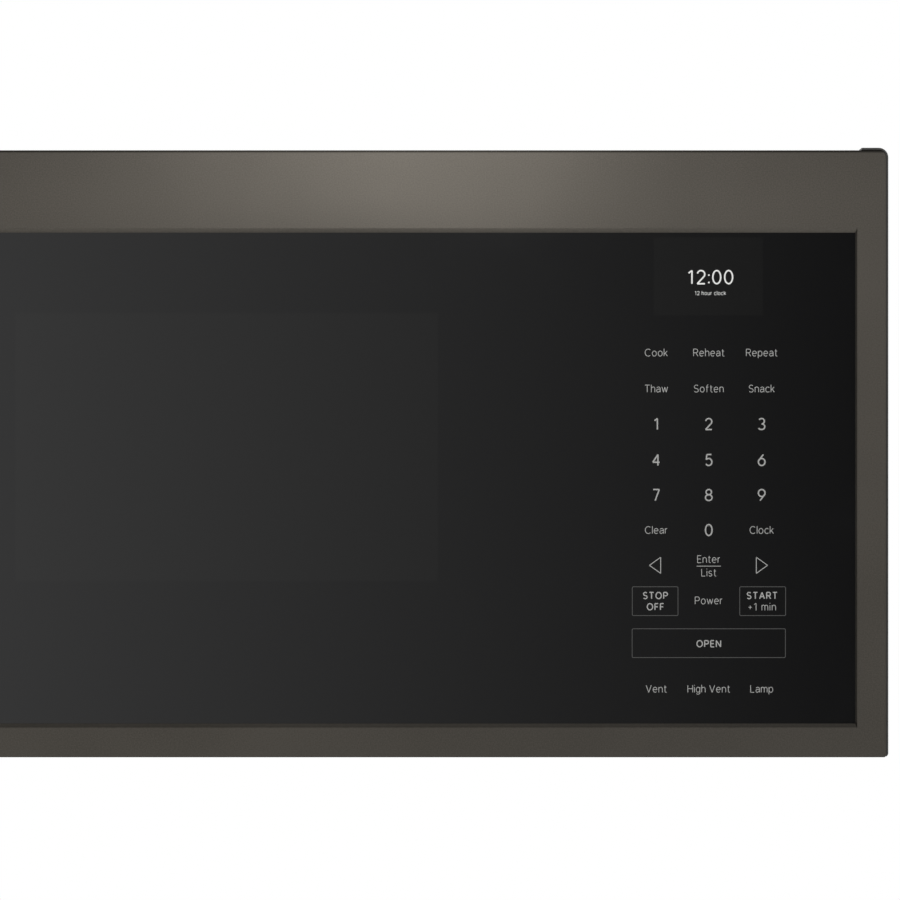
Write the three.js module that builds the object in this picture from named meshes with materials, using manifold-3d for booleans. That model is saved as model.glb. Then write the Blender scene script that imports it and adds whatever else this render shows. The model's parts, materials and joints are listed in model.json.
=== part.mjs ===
// An over-the-range microwave with a full-width, handleless door.
// Millimetres. +X is to the right as the cook sees it, +Y goes back into the wall and +Z is up.
// Inside the assembly z is counted from the door's lower edge. The exported group then puts the
// origin in the middle of the wall plate's rear face, on the wall.
import * as THREE from "three";
import { mergeVertices } from "three/addons/utils/BufferGeometryUtils.js";
import Module from "manifold-3d";

const wasm = await Module();
wasm.setup();

// ---- the whole machine ----
const doorWidth = 759;
const doorHeight = 433.1;
const overallDepth = 400;
const seat = 0.3; // gap between two pieces that rest on each other
const caseSheet = 0.8;
const caseSideInset = 1.5; // the case stands this far inside the door's outline
const caseEndInset = 1;

// ---- door ----
const doorThickness = 42.5;
const doorGap = 2.5; // between the door's rear and the front plate
const skinFace = 2;
const skinFlange = 1.2;
const skinFlangeDepth = 17;
const skinTopCorner = 5;
const skinBottomCorner = 1.5;
const trimThickness = 1.5;
const trimRise = 1.9; // the side trims stand above the door's top edge
const trimHookWidth = 19; // and reach this far in over it
const topRail = 58.7;
const bottomRail = 24;
const sideStile = 23.5;
const bevelWidth = 3.4;
const bevelSide = 1.2;
const glassThickness = 4;
const glassLap = 5; // the glass reaches this far behind the frame
const pivotInset = 9; // hinge axis to the carrier's side and rear faces
const armThickness = 2.5;
const armHalfWidth = 7.5;
const armToFlange = 1;
const armToCarrier = 0.6;
const hingePinRadius = 3;
const hingePinLength = 15;
const hingePinGap = 0.3;
const hingeLegWidth = 30;
const hingeLegHeight = 42;
const hingeLegSheet = 1.6;
const carrierRearWall = 4.5;
const carrierRib = 9;
const carrierSideWall = 12;
const carrierHingeWall = 15;
const carrierTopWall = 18;
const carrierBottomWall = 11; // plastic left between the carrier's hollows
const windowWidth = 302;
const windowHeight = 191;
const chokeLap = 17; // the choke pan reaches this far past the cavity's mouth
const chokeDepth = 16;
const chokeWidth = 13;
const chokeSheet = 1;
const chokeCoverThickness = 1.6;
const screenSheet = 0.8;
const screenLap = 7;
const innerWindowThickness = 1.5;
const innerWindowLap = 16;

// ---- touch controls ----
const displayWidth = 78;
const displayHeight = 56;
const displayThickness = 6;
const displayFromTop = 89.7; // down to the display's middle
const touchFromMiddle = 22.65; // from the middle of the control bay to the middle of the keys
const boardGap = 9.8; // to the bay's inner side
const boardReach = 58; // past the middle of the keys
const boardLow = 37;
const boardThickness = 1.6;

// ---- cavity ----
const cavityWidth = 500;
const cavityHeight = 225;
const cavityDepth = 295;
const cavityX = -93;
const cavityZ = 221.4;
const cavitySheet = 0.8;
const cavityFlange = 8;

// ---- turntable ----
const trayRadius = 135;
const trayGlass = 5;
const trayRimHeight = 11;
const trayRimRun = 20;
const rollerRadius = 7;
const rollerWidth = 6;
const rollerTrack = 98; // roller's middle from the turntable's axis
const rollerBoreGap = 0.3;
const ringWidth = 8;
const ringHeight = 5;
const axleRadius = 1.6;
const rollerCount = 3;
const couplerRadius = 14;
const couplerHeight = 8;
const couplerStemRadius = 5;
const couplerWings = 3;
const spokeWidth = 4;
const trayLugDepth = 4;
const motorSocketDepth = 11;
const floorHoleRadius = 8;
const turntableMotorRadius = 25;
const turntableMotorHeight = 18;
const motorEarWidth = 12;
const motorEarReach = 8;

// ---- base, filters and cooktop lamps ----
const filterWidth = 200;
const filterLength = 130;
const filterThickness = 8;
const filterGap = 1;
const filterFromSide = 187.2; // from the middle of the machine, one each side
const filterFromWall = 130;
const filterFlange = 6;
const lensWidth = 90;
const lensLength = 55;
const lensThickness = 3;
const lensFlange = 6;
const lensGap = 0.5;
const lensFromFront = 70;
const lampHeight = 14;

// ---- top grille, charcoal filter and duct ----
const grilleWidth = 600;
const grilleLength = 30;
const grilleFromFront = 9; // behind the front plate
const grilleSlotWidth = 5;
const grilleSlotLength = 52;
const grilleColumns = 9;
const grilleRows = 3;
const grillePocketDepth = 24;
const grillePocketWall = 1.5;
const grilleLedge = 2;
const charcoalWidth = 480;
const charcoalHeight = 16;
const ductCoverWidth = 260;
const ductCoverLength = 94;
const ductCoverFromWall = 75;

// ---- blower ----
const blowerFromWall = 75;
const blowerRoofGap = 4.4; // between the scroll and the case's roof
const wheelWidth = 78;
const wheelBlades = 18;
const wheelRing = 4;
const wheelPlate = 2;
const bladeSheet = 1.4;
const scrollGap = 6; // wheel to scroll wall
const scrollSheet = 1.5;
const scrollMouthLow = 3.5; // the outlet's floor, above the shaft
const inletLap = 7; // how far the wheel's rim stands outside the inlet
const scrollMouthReach = 16;
const blowerFoot = 25;
const blowerFootSheet = 2;
const blowerMotorInset = 6; // how much smaller than the wheel it is
const blowerMotorLength = 56;
const blowerMotorGap = 8; // motor end to scroll
const blowerShaftRadius = 3;
const shaftGap = 0.3;

// ---- right-hand compartment ----
const latchX = 192;
const latchLowZ = 155;
const latchHighZ = 288;
const hookThickness = 5;
const hookHeight = 10;
const hookReach = 26; // behind the front plate
const hookLip = 4;
const hookLipLength = 8;
const latchTravel = 5;
const latchSlotGap = 2.5;
const latchBarDepth = 8;
const latchBarEnd = 9; // bar past the hooks
const latchSpringRadius = 3.2;
const latchSpringLength = 26;
const latchSpringWire = 0.6;
const springSeatHeight = 4;
const guideSheet = 2.5;
const guideLip = 1; // past the front of the bar
const latchHousingDepth = 29;
const latchHousingHalfWidth = 11;
const latchHousingEnd = 12;
const latchHousingWall = 1.5;
const latchPlay = 0.5;
const ledgeHeight = 6;
const switchWidth = 10;
const switchDepth = 20;
const switchHeight = 28;
const lifterRadius = 3;
const lifterRodLength = 26;
const openerWidth = 30;
const openerHeight = 36;
const openerDepth = 26;

const waveguideFromWall = 150;
const waveguideZ = 267;
const waveguideLength = 100;
const waveguideHeight = 88;
const waveguideDepth = 36;
const waveguideSheet = 1.2;
const feedLength = 80;
const feedHeight = 38;
const feedZ = 284;
const micaSheet = 0.8;
const micaLap = 9;
const magnetronLength = 66;
const magnetronSide = 74;
const magnetronFins = 7;
const finSheet = 1.5;
const antennaRadius = 8;
const antennaGap = 2;
const magnetronYoke = 2.5;
const magnetronBoxWidth = 44;
const magnetronBoxHeight = 48;
const antennaReach = 24;

const coreWidth = 100;
const coreDepth = 66;
const coreHeight = 80;
const coreLeg = 16;
const coreFromSide = 77.2;
const coreFromWall = 262;
const windingBulge = 14;
const windingGap = 2;
const capacitorWidth = 52;
const capacitorDepth = 32;
const capacitorHeight = 88;
const capacitorFromSide = 42.2;
const capacitorFromWall = 170;

const fanSide = 118;
const fanDepth = 22;
const fanFromSide = 92.2;
const fanZ = 268;
const fanBladeRadius = 48;
const fanTipGap = 3;
const fanHubRadius = 23;
const fanHubSheet = 3;
const fanBlades = 7;
const fanMotorRadius = 17;
const fanPinRadius = 2;
const fanFoot = 8;
const fanFromPanel = 58;
const fanMotorLength = 24;
const fanArmSheet = 2;
const fanBladeSheet = 1.6;

const powerBoardLength = 190;
const powerBoardHeight = 150;
const powerBoardZ = 190;
const powerBoardFromWall = 205;
const powerBoardLegs = 10;
const boardLegRadius = 4;
const lampModuleLength = 40;
const lampModuleHeight = 26;
const lampModuleDepth = 14;
const lampFromWall = 262;
const lampLensRadius = 8;
const lampZ = 300;

// ---- wall plate and cord outlet ----
const wallSheet = 1.5;
const wallPlateWidth = 600;
const wallPlateLow = 92;
const wallPlateHigh = 330;
const plateWindow = 60;
const plateWindowPitch = 115;
const hookTabX = 200;
const hookTabWidth = 40;
const hookTabReach = 9;
const hookTabSheet = 2;
const hookTabRise = 14;
const glandX = 320;
const glandFromWall = 60;
const glandRadius = 12;
const cordBoreRadius = 5;
const glandFlange = 3;
const cabinetBoltX = 300;
const cabinetBoltFromWall = 240;
const cabinetBoltRadius = 3.5;

// ---- planes and centres worked out from the sizes above ----
const wallY = 0;
const panelRearY = wallY - wallSheet - seat;
const panelFrontY = panelRearY - caseSheet;
const caseBackY = panelFrontY - seat;
const frontY = -(overallDepth - doorThickness - doorGap);
const frontPlateRearY = frontY + caseSheet;
const caseFrontY = frontPlateRearY + seat;
const doorFrontY = -overallDepth;
const doorRearY = frontY - doorGap;
const caseHalf = doorWidth / 2 - caseSideInset;
const caseLow = caseEndInset;
const caseHigh = doorHeight - caseEndInset;
const caseInnerHalf = caseHalf - caseSheet;
const caseRoof = caseHigh - caseSheet; // underside of the case's top
const baseTop = caseLow + caseSheet;
const cavityBackY = frontY + cavityDepth;
const cavityCentreY = (frontY + cavityBackY) / 2;
const cavityFloor = cavityZ - cavityHeight / 2;
const cavityRoof = cavityZ + cavityHeight / 2;
const cavityRightX = cavityX + cavityWidth / 2;
const cavityRoofOuter = cavityRoof + cavitySheet;
const cavityRightOuter = cavityRightX + cavitySheet;
const filterX = caseInnerHalf - filterFromSide;
const coreX = caseInnerHalf - coreFromSide;
const capacitorX = caseInnerHalf - capacitorFromSide;
const fanX = caseInnerHalf - fanFromSide;
const lensY = frontY + lensFromFront;
const grilleY = [caseFrontY + grilleFromFront, caseFrontY + grilleFromFront + grilleLength];
const ductCoverY = [-ductCoverFromWall - ductCoverLength / 2, -ductCoverFromWall + ductCoverLength / 2];
const pivotX = -(doorWidth / 2 - trimThickness - seat - skinFlange - seat) + pivotInset;
const pivotY = doorRearY - pivotInset;
const displayZ = doorHeight - displayFromTop;
const openingGap = 0.5; // round a panel that drops into a cut-out
const flangeSheet = 1.2; // lips that panels and glands hang from
const panelLip = 6;
const past = 1; // how far a cutting tool runs past the face that it cuts

// ---- shapes ----
const around = (middle, size) => [middle - size / 2, middle + size / 2];
const widen = ([low, high], by) => [low - by, high + by];

function slab([x0, x1], [y0, y1], [z0, z1]) {
  const block = new THREE.BoxGeometry(x1 - x0, y1 - y0, z1 - z0);
  return block.translate((x0 + x1) / 2, (y0 + y1) / 2, (z0 + z1) / 2);
}

// A round bar along one axis from a to b, through u and v on the two other axes.
function rod(axis, radius, [a, b], [u, v], sides = 24) {
  const bar = new THREE.CylinderGeometry(radius, radius, b - a, sides);
  if (axis === "x") return bar.rotateZ(-Math.PI / 2).translate((a + b) / 2, u, v);
  if (axis === "y") return bar.translate(u, (a + b) / 2, v);
  return bar.rotateX(Math.PI / 2).translate(u, v, (a + b) / 2);
}

// A front-view outline, x across and z up, extruded along Y.
function panel(outline, [y0, y1]) {
  const options = { depth: y1 - y0, bevelEnabled: false, curveSegments: 6 };
  return new THREE.ExtrudeGeometry(outline, options).rotateX(Math.PI / 2).translate(0, y1, 0);
}

// A rectangle with its own corner radius on each of four corners, from lower left, anticlockwise.
function roundedOutline([x0, x1], [z0, z1], [lowLeft, lowRight, highRight, highLeft]) {
  const outline = new THREE.Shape();
  const corner = (x, z, radius, from) => {
    if (radius > 0) outline.absarc(x, z, radius, from, from + Math.PI / 2);
    else outline.lineTo(x, z);
  };
  outline.moveTo(x0 + lowLeft, z0);
  corner(x1 - lowRight, z0 + lowRight, lowRight, -Math.PI / 2);
  corner(x1 - highRight, z1 - highRight, highRight, 0);
  corner(x0 + highLeft, z1 - highLeft, highLeft, Math.PI / 2);
  corner(x0 + lowLeft, z0 + lowLeft, lowLeft, Math.PI);
  return outline;
}

// A four-sided funnel between a rectangle in the plane y0 and another in the plane y1.
function funnel([x0, x1], [z0, z1], y0, [u0, u1], [w0, w1], y1) {
  const corners = [
    [x0, y0, z0], [x1, y0, z0], [x1, y0, z1], [x0, y0, z1],
    [u0, y1, w0], [u1, y1, w0], [u1, y1, w1], [u0, y1, w1],
  ];
  const quads = [[0, 1, 2, 3], [5, 4, 7, 6], [4, 5, 1, 0], [3, 2, 6, 7], [1, 5, 6, 2], [4, 0, 3, 7]];
  const faces = quads.flatMap(([a, b, c, d]) => [a, b, c, a, c, d]);
  const geometry = new THREE.BufferGeometry();
  geometry.setAttribute("position", new THREE.Float32BufferAttribute(corners.flat(), 3));
  return geometry.setIndex(faces);
}

// A profile of [radius, height] points turned about the Z axis.
function turned(profile, sides = 48) {
  const points = profile.map(([radius, height]) => new THREE.Vector2(radius, height));
  return new THREE.LatheGeometry(points, sides).rotateX(Math.PI / 2);
}

function ring(inner, outer, [z0, z1], sides = 48) {
  return turned([[inner, z0], [outer, z0], [outer, z1], [inner, z1], [inner, z0]], sides);
}

function solid(geometry) {
  const bare = geometry.clone();
  bare.deleteAttribute("normal");
  bare.deleteAttribute("uv");
  const merged = mergeVertices(bare, 1e-4);
  const vertProperties = new Float32Array(merged.attributes.position.array);
  const triVerts = new Uint32Array(merged.index.array);
  return new wasm.Manifold(new wasm.Mesh({ numProp: 3, vertProperties, triVerts }));
}

function surface(made) {
  const mesh = made.getMesh();
  const geometry = new THREE.BufferGeometry();
  geometry.setAttribute("position", new THREE.BufferAttribute(mesh.vertProperties, 3));
  geometry.setIndex(new THREE.BufferAttribute(mesh.triVerts, 1));
  geometry.computeVertexNormals();
  return geometry;
}

const join = (...pieces) => surface(pieces.map(solid).reduce((sum, piece) => sum.add(piece)));
const cut = (piece, ...tools) =>
  surface(tools.map(solid).reduce((left, tool) => left.subtract(tool), solid(piece)));

// ---- finishes ----
const finish = (color, roughness, metalness) =>
  new THREE.MeshStandardMaterial({ color, roughness, metalness });
const blackStainless = finish(0x5a574f, 0.38, 0.9);
const darkTrim = finish(0x2b2b29, 0.45, 0.3);
const blackGlass = finish(0x1c1c1d, 0.08, 0.1);
const clearGlass = finish(0xcdd6d4, 0.05, 0);
const frostedLens = finish(0xe6e6e0, 0.5, 0);
const darkPlastic = finish(0x222224, 0.6, 0);
const casePaint = finish(0x2f2f2d, 0.5, 0.4);
const enamel = finish(0x8b8e8f, 0.45, 0.2);
const zincSteel = finish(0xa9adaf, 0.42, 0.9);
const aluminium = finish(0xc3c6c8, 0.4, 0.95);
const whitePlastic = finish(0xdedcd3, 0.5, 0);
const greenBoard = finish(0x1f5a36, 0.5, 0);
const copper = finish(0xb0683a, 0.4, 0.85);
const laminations = finish(0x4b4a48, 0.6, 0.7);
const carbon = finish(0x17181a, 0.95, 0);
const mica = finish(0xb9ab8e, 0.6, 0);

function place(group, name, geometry, material) {
  const mesh = new THREE.Mesh(geometry, material);
  mesh.name = name;
  group.add(mesh);
  return mesh;
}

// ---- case: wrap, base, back panel, front plate ----
// A flush panel for a cut-out in the case's top, hung on a lip under the sheet.
function flushPanel(width, [y0, y1]) {
  const lipZ = [caseRoof - seat - flangeSheet, caseRoof - seat];
  const lip = slab(around(0, width + 2 * panelLip), [y0 - panelLip, y1 + panelLip], lipZ);
  return join(slab(around(0, width), [y0, y1], [lipZ[0], caseHigh]), lip);
}

function topCutOut(width, [y0, y1]) {
  const cutOutY = [y0 - openingGap, y1 + openingGap];
  return slab(around(0, width + 2 * openingGap), cutOutY, [caseRoof - past, caseHigh + past]);
}

function outerCase() {
  const block = slab([-caseHalf, caseHalf], [caseFrontY, caseBackY], [caseLow, caseHigh]);
  const topHole = (radius, x, y) => rod("z", radius, [caseRoof - past, caseHigh + past], [x, y]);
  return cut(
    block,
    slab([-caseInnerHalf, caseInnerHalf], [caseFrontY - past, caseBackY + past], [caseLow - past, caseRoof]),
    topCutOut(grilleWidth, grilleY),
    topCutOut(ductCoverWidth, ductCoverY),
    topHole(glandRadius + seat, glandX, -glandFromWall),
    topHole(cabinetBoltRadius, -cabinetBoltX, -cabinetBoltFromWall),
    topHole(cabinetBoltRadius, cabinetBoltX, -cabinetBoltFromWall),
  );
}

const filterTop = caseLow + filterThickness;
const collarTop = filterTop + seat + caseSheet;

function basePlate() {
  const half = caseInnerHalf - seat;
  let plate = slab([-half, half], [caseFrontY, caseBackY], [caseLow, baseTop]);
  for (const side of [-1, 1]) {
    const x = side * filterX;
    const y = -filterFromWall;
    const pocketWidth = filterWidth + 2 * filterGap;
    const pocketLength = filterLength + 2 * filterGap;
    const collarX = around(x, pocketWidth + 2 * caseSheet);
    const collarY = around(y, pocketLength + 2 * caseSheet);
    plate = join(plate, slab(collarX, collarY, [caseLow, collarTop]));
    plate = cut(
      plate,
      slab(around(x, pocketWidth), around(y, pocketLength), [caseLow - past, filterTop + seat]),
      slab(
        around(x, filterWidth - 2 * filterFlange),
        around(y, filterLength - 2 * filterFlange),
        [caseLow, collarTop + past],
      ),
      slab(
        around(x, lensWidth + 2 * lensGap),
        around(lensY, lensLength + 2 * lensGap),
        [caseLow - past, baseTop + past],
      ),
    );
  }
  return plate;
}

function backPanel() {
  const slotZ = [wallPlateLow - hookTabRise, wallPlateLow + hookTabSheet + seat];
  const slotWidth = hookTabWidth + 2 * openingGap;
  const slotY = [panelFrontY - past, panelRearY + past];
  return cut(
    slab([-caseHalf, caseHalf], [panelFrontY, panelRearY], [caseLow, caseHigh]),
    slab(around(-hookTabX, slotWidth), slotY, slotZ),
    slab(around(hookTabX, slotWidth), slotY, slotZ),
  );
}

function frontPlate() {
  const throughY = [frontY - past, frontPlateRearY + past];
  const slotX = around(latchX, hookThickness + 2 * latchSlotGap);
  const slotZ = (z) => [z - hookHeight / 2 - hookLip - 1, z + hookHeight / 2 + latchTravel + 1];
  return cut(
    slab([-caseHalf, caseHalf], [frontY, frontPlateRearY], [caseLow, caseHigh]),
    slab(around(cavityX, cavityWidth), throughY, around(cavityZ, cavityHeight)),
    slab(slotX, throughY, slotZ(latchLowZ)),
    slab(slotX, throughY, slotZ(latchHighZ)),
  );
}

// The wall plate's two tabs pass through the back panel's slots, and the panel hangs on them.
function wallPlate() {
  const plateZ = [wallPlateLow, wallPlateHigh];
  const tabY = [wallY - wallSheet - hookTabReach, wallY - wallSheet / 2];
  const tabs = [-1, 1].flatMap((side) => {
    const tabX = around(side * hookTabX, hookTabWidth);
    const shelf = slab(tabX, tabY, [wallPlateLow, wallPlateLow + hookTabSheet]);
    const lipTop = wallPlateLow + hookTabSheet + hookTabRise;
    return [shelf, slab(tabX, [tabY[0], tabY[0] + hookTabSheet], [wallPlateLow, lipTop])];
  });
  const windows = [-2, -1, 1, 2].map((step) =>
    slab(
      around(step * plateWindowPitch, plateWindow),
      [wallY - wallSheet - past, wallY + past],
      around((wallPlateLow + wallPlateHigh) / 2, plateWindow),
    ),
  );
  const sheet = slab(around(0, wallPlateWidth), [wallY - wallSheet, wallY], plateZ);
  return join(cut(sheet, ...windows), ...tabs);
}

function ventGrille() {
  const slotZ = [caseRoof - seat - flangeSheet - past, caseHigh + past];
  const pitchX = grilleWidth / grilleColumns;
  const pitchY = grilleLength / grilleRows;
  const slots = [];
  for (let column = 0; column < grilleColumns; column += 1) {
    for (let row = 0; row < grilleRows; row += 1) {
      const x = -grilleWidth / 2 + (column + 0.5) * pitchX;
      const y = grilleY[0] + (row + 0.5) * pitchY;
      slots.push(slab(around(x, grilleSlotLength), around(y, grilleSlotWidth), slotZ));
    }
  }
  const pocketX = around(0, charcoalWidth + 2 * seat);
  const pocketZ = [caseRoof - seat - grillePocketDepth, caseRoof - seat - flangeSheet / 2];
  const ledgeZ = [pocketZ[0], pocketZ[0] + grillePocketWall];
  const [front, rear] = grilleY;
  const walls = [
    slab(pocketX, [front - grillePocketWall, front], pocketZ),
    slab(pocketX, [rear, rear + grillePocketWall], pocketZ),
    slab(pocketX, [front - grillePocketWall / 2, front + grilleLedge], ledgeZ),
    slab(pocketX, [rear - grilleLedge, rear + grillePocketWall / 2], ledgeZ),
  ];
  return join(cut(flushPanel(grilleWidth, grilleY), ...slots), ...walls);
}

function charcoalFilter() {
  const bottom = caseRoof - grillePocketDepth + grillePocketWall;
  const filterY = [grilleY[0] + seat, grilleY[1] - seat];
  return slab(around(0, charcoalWidth), filterY, [bottom, bottom + charcoalHeight]);
}

function cordGland() {
  const flangeZ = [caseRoof - seat - glandFlange, caseRoof - seat];
  const at = [glandX, -glandFromWall];
  const flange = rod("z", glandRadius + glandFlange, flangeZ, at);
  const body = rod("z", glandRadius, [flangeZ[0], caseHigh], at);
  return cut(join(body, flange), rod("z", cordBoreRadius, [flangeZ[0] - past, caseHigh + past], at));
}

// A leg on the front plate, an arm forward under the door's flange, and the pin that the door turns on.
function hingeBracket(side) {
  const outerEdge = side > 0 ? doorHeight : 0;
  const z = (fromEdge) => outerEdge - side * fromEdge;
  const sorted = (a, b) => (a < b ? [a, b] : [b, a]);
  const armFace = skinFlange + armToFlange;
  const armZ = sorted(z(armFace), z(armFace + armThickness));
  const legY = [frontY - seat - hingeLegSheet, frontY - seat];
  const legZ = sorted(z(armFace), z(armFace + hingeLegHeight));
  const pinZ = sorted(z(armFace + armThickness / 2), z(armFace + armThickness + hingePinLength));
  return join(
    slab([pivotX - armHalfWidth, pivotX + armHalfWidth], [pivotY, legY[1]], armZ),
    rod("z", armHalfWidth, armZ, [pivotX, pivotY]),
    slab([pivotX, pivotX + hingeLegWidth], legY, legZ),
    rod("z", hingePinRadius, pinZ, [pivotX, pivotY], 16),
  );
}

function buildCase() {
  const group = new THREE.Group();
  place(group, "outer_case", outerCase(), casePaint);
  place(group, "base_plate", basePlate(), casePaint);
  place(group, "back_panel", backPanel(), zincSteel);
  place(group, "front_plate", frontPlate(), casePaint);
  place(group, "wall_plate", wallPlate(), zincSteel);
  place(group, "vent_grille", ventGrille(), darkPlastic);
  place(group, "charcoal_filter", charcoalFilter(), carbon);
  place(group, "duct_cover", flushPanel(ductCoverWidth, ductCoverY), casePaint);
  place(group, "cord_gland", cordGland(), darkPlastic);
  place(group, "hinge_bracket_upper", hingeBracket(1), zincSteel);
  place(group, "hinge_bracket_lower", hingeBracket(-1), zincSteel);
  for (const [side, label] of [[-1, "left"], [1, "right"]]) {
    const x = side * filterX;
    const filter = slab(around(x, filterWidth), around(-filterFromWall, filterLength), [caseLow, filterTop]);
    place(group, `grease_filter_${label}`, filter, aluminium);
    const lens = (extra, z) =>
      slab(around(x, lensWidth + 2 * extra), around(lensY, lensLength + 2 * extra), z);
    const lensLipZ = [baseTop + seat, baseTop + seat + lensThickness / 2];
    const lensBody = join(lens(0, [caseLow, lensLipZ[1]]), lens(lensFlange, lensLipZ));
    place(group, `cooktop_lens_${label}`, lensBody, frostedLens);
    const lampZ = [lensLipZ[1] + seat, lensLipZ[1] + seat + lampHeight];
    place(group, `cooktop_lamp_${label}`, lens(-lensFlange / 2, lampZ), whitePlastic);
  }
  return group;
}

// ---- cavity and turntable ----
function ovenCavity() {
  const wall = (extra) => around(cavityX, cavityWidth + 2 * extra);
  const height = (extra) => around(cavityZ, cavityHeight + 2 * extra);
  const shell = slab(wall(cavitySheet), [caseFrontY, cavityBackY + cavitySheet], height(cavitySheet));
  const flangeSize = cavitySheet + cavityFlange;
  const flangeY = [caseFrontY, caseFrontY + cavitySheet];
  const wallX = [cavityRightX - past, cavityRightOuter + past];
  const floorHoleZ = [cavityFloor - cavitySheet - past, cavityFloor + past];
  return cut(
    join(shell, slab(wall(flangeSize), flangeY, height(flangeSize))),
    slab(wall(0), [caseFrontY - past, cavityBackY], height(0)),
    rod("z", floorHoleRadius, floorHoleZ, [cavityX, cavityCentreY]),
    slab(wallX, around(-waveguideFromWall, feedLength), around(feedZ, feedHeight)),
    rod("x", lampLensRadius + seat, wallX, [-lampFromWall, lampZ]),
  );
}

const rollerZ = cavityFloor + seat + rollerRadius;
const trayUnder = rollerZ + rollerRadius + seat;
const couplerZ = [cavityFloor + seat, cavityFloor + seat + couplerHeight];
const turntableMotorTop = cavityFloor - cavitySheet - seat;
const ringOuter = rollerTrack - rollerWidth / 2 - 1;
const spokeAngle = (index, count) => Math.PI / 2 + (index * 2 * Math.PI) / count;

function glassTray() {
  const flat = trayRadius - trayRimRun;
  const rimTop = trayUnder + trayRimHeight + trayGlass;
  const dish = turned([
    [0, trayUnder],
    [flat, trayUnder],
    [flat + trayRimRun / 2, trayUnder + trayRimHeight / 4],
    [trayRadius - trayGlass / 2, rimTop - trayGlass],
    [trayRadius, rimTop - trayGlass / 2],
    [trayRadius - trayGlass / 2, rimTop],
    [flat + trayRimRun / 2 - trayGlass / 2, trayUnder + trayRimHeight / 4 + trayGlass],
    [flat - trayGlass / 2, trayUnder + trayGlass],
    [0, trayUnder + trayGlass],
  ], 64);
  const lugZ = [trayUnder - trayLugDepth, trayUnder + 1];
  return join(dish, ...driveSpokes(couplerStemRadius + 1, lugZ, Math.PI / couplerWings));
}

// Radial ribs that carry the drive from the coupler to lugs under the tray.
function driveSpokes(from, z, turn) {
  return Array.from({ length: couplerWings }, (_, index) => {
    const rib = slab([from, couplerRadius], around(0, spokeWidth), z);
    return rib.rotateZ(spokeAngle(index, couplerWings) + turn);
  });
}

function driveCoupler() {
  const stemZ = [turntableMotorTop - motorSocketDepth + 0.5, couplerZ[1]];
  return join(
    rod("z", couplerRadius, couplerZ, [0, 0], 32),
    rod("z", couplerStemRadius, stemZ, [0, 0]),
    ...driveSpokes(1, [couplerZ[0] + 1, trayUnder - seat], 0),
  );
}

function rollerRing() {
  const axleEnd = rollerTrack + rollerWidth / 2 + seat;
  const capThickness = 1.5;
  let frame = ring(ringOuter - ringWidth, ringOuter, around(rollerZ, ringHeight));
  for (let index = 0; index < rollerCount; index += 1) {
    const axle = rod("x", axleRadius, [ringOuter - 1, axleEnd + capThickness], [0, rollerZ], 16);
    const cap = rod("x", axleRadius * 2, [axleEnd, axleEnd + capThickness], [0, rollerZ], 16);
    const turn = spokeAngle(index, rollerCount);
    frame = join(frame, axle.rotateZ(turn), cap.rotateZ(turn));
  }
  return frame;
}

function rollerWheel(index) {
  const x = around(rollerTrack, rollerWidth);
  const bore = rod("x", axleRadius + rollerBoreGap, [x[0] - past, x[1] + past], [0, rollerZ], 16);
  const wheel = cut(rod("x", rollerRadius, x, [0, rollerZ], 32), bore);
  return wheel.rotateZ(spokeAngle(index, rollerCount));
}

function turntableMotor() {
  const bottom = turntableMotorTop - turntableMotorHeight;
  const earHalf = turntableMotorRadius + motorEarReach;
  const socketZ = [turntableMotorTop - motorSocketDepth, turntableMotorTop + past];
  const earZ = [turntableMotorTop - flangeSheet, turntableMotorTop];
  const ear = slab([-earHalf, earHalf], around(0, motorEarWidth), earZ);
  return cut(
    join(rod("z", turntableMotorRadius, [bottom, turntableMotorTop], [0, 0], 32), ear),
    rod("z", couplerStemRadius + seat, socketZ, [0, 0]),
  );
}

function buildCavity() {
  const group = new THREE.Group();
  place(group, "oven_cavity", ovenCavity(), enamel);
  const turntable = new THREE.Group();
  turntable.position.set(cavityX, cavityCentreY, 0);
  place(turntable, "glass_tray", glassTray(), clearGlass);
  place(turntable, "drive_coupler", driveCoupler(), whitePlastic);
  place(turntable, "roller_ring", rollerRing(), whitePlastic);
  for (let index = 0; index < rollerCount; index += 1) {
    place(turntable, `roller_wheel_${index + 1}`, rollerWheel(index), whitePlastic);
  }
  place(turntable, "turntable_motor", turntableMotor(), zincSteel);
  group.add(turntable);
  return group;
}

// ---- vent blower, above the cavity ----
const blowerZ = (cavityRoofOuter + caseRoof) / 2;
const scrollRadius = caseRoof - blowerZ - blowerRoofGap;
const wheelRadius = scrollRadius - scrollSheet - scrollGap;
const blowerMotorRadius = wheelRadius - blowerMotorInset;
const scrollStart = blowerMotorLength / 2 + blowerMotorGap;
const scrollX = [scrollStart, scrollStart + wheelWidth + 2 * (wheelPlate + scrollSheet)];
const wheelMiddle = (scrollX[0] + scrollX[1]) / 2;

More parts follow.
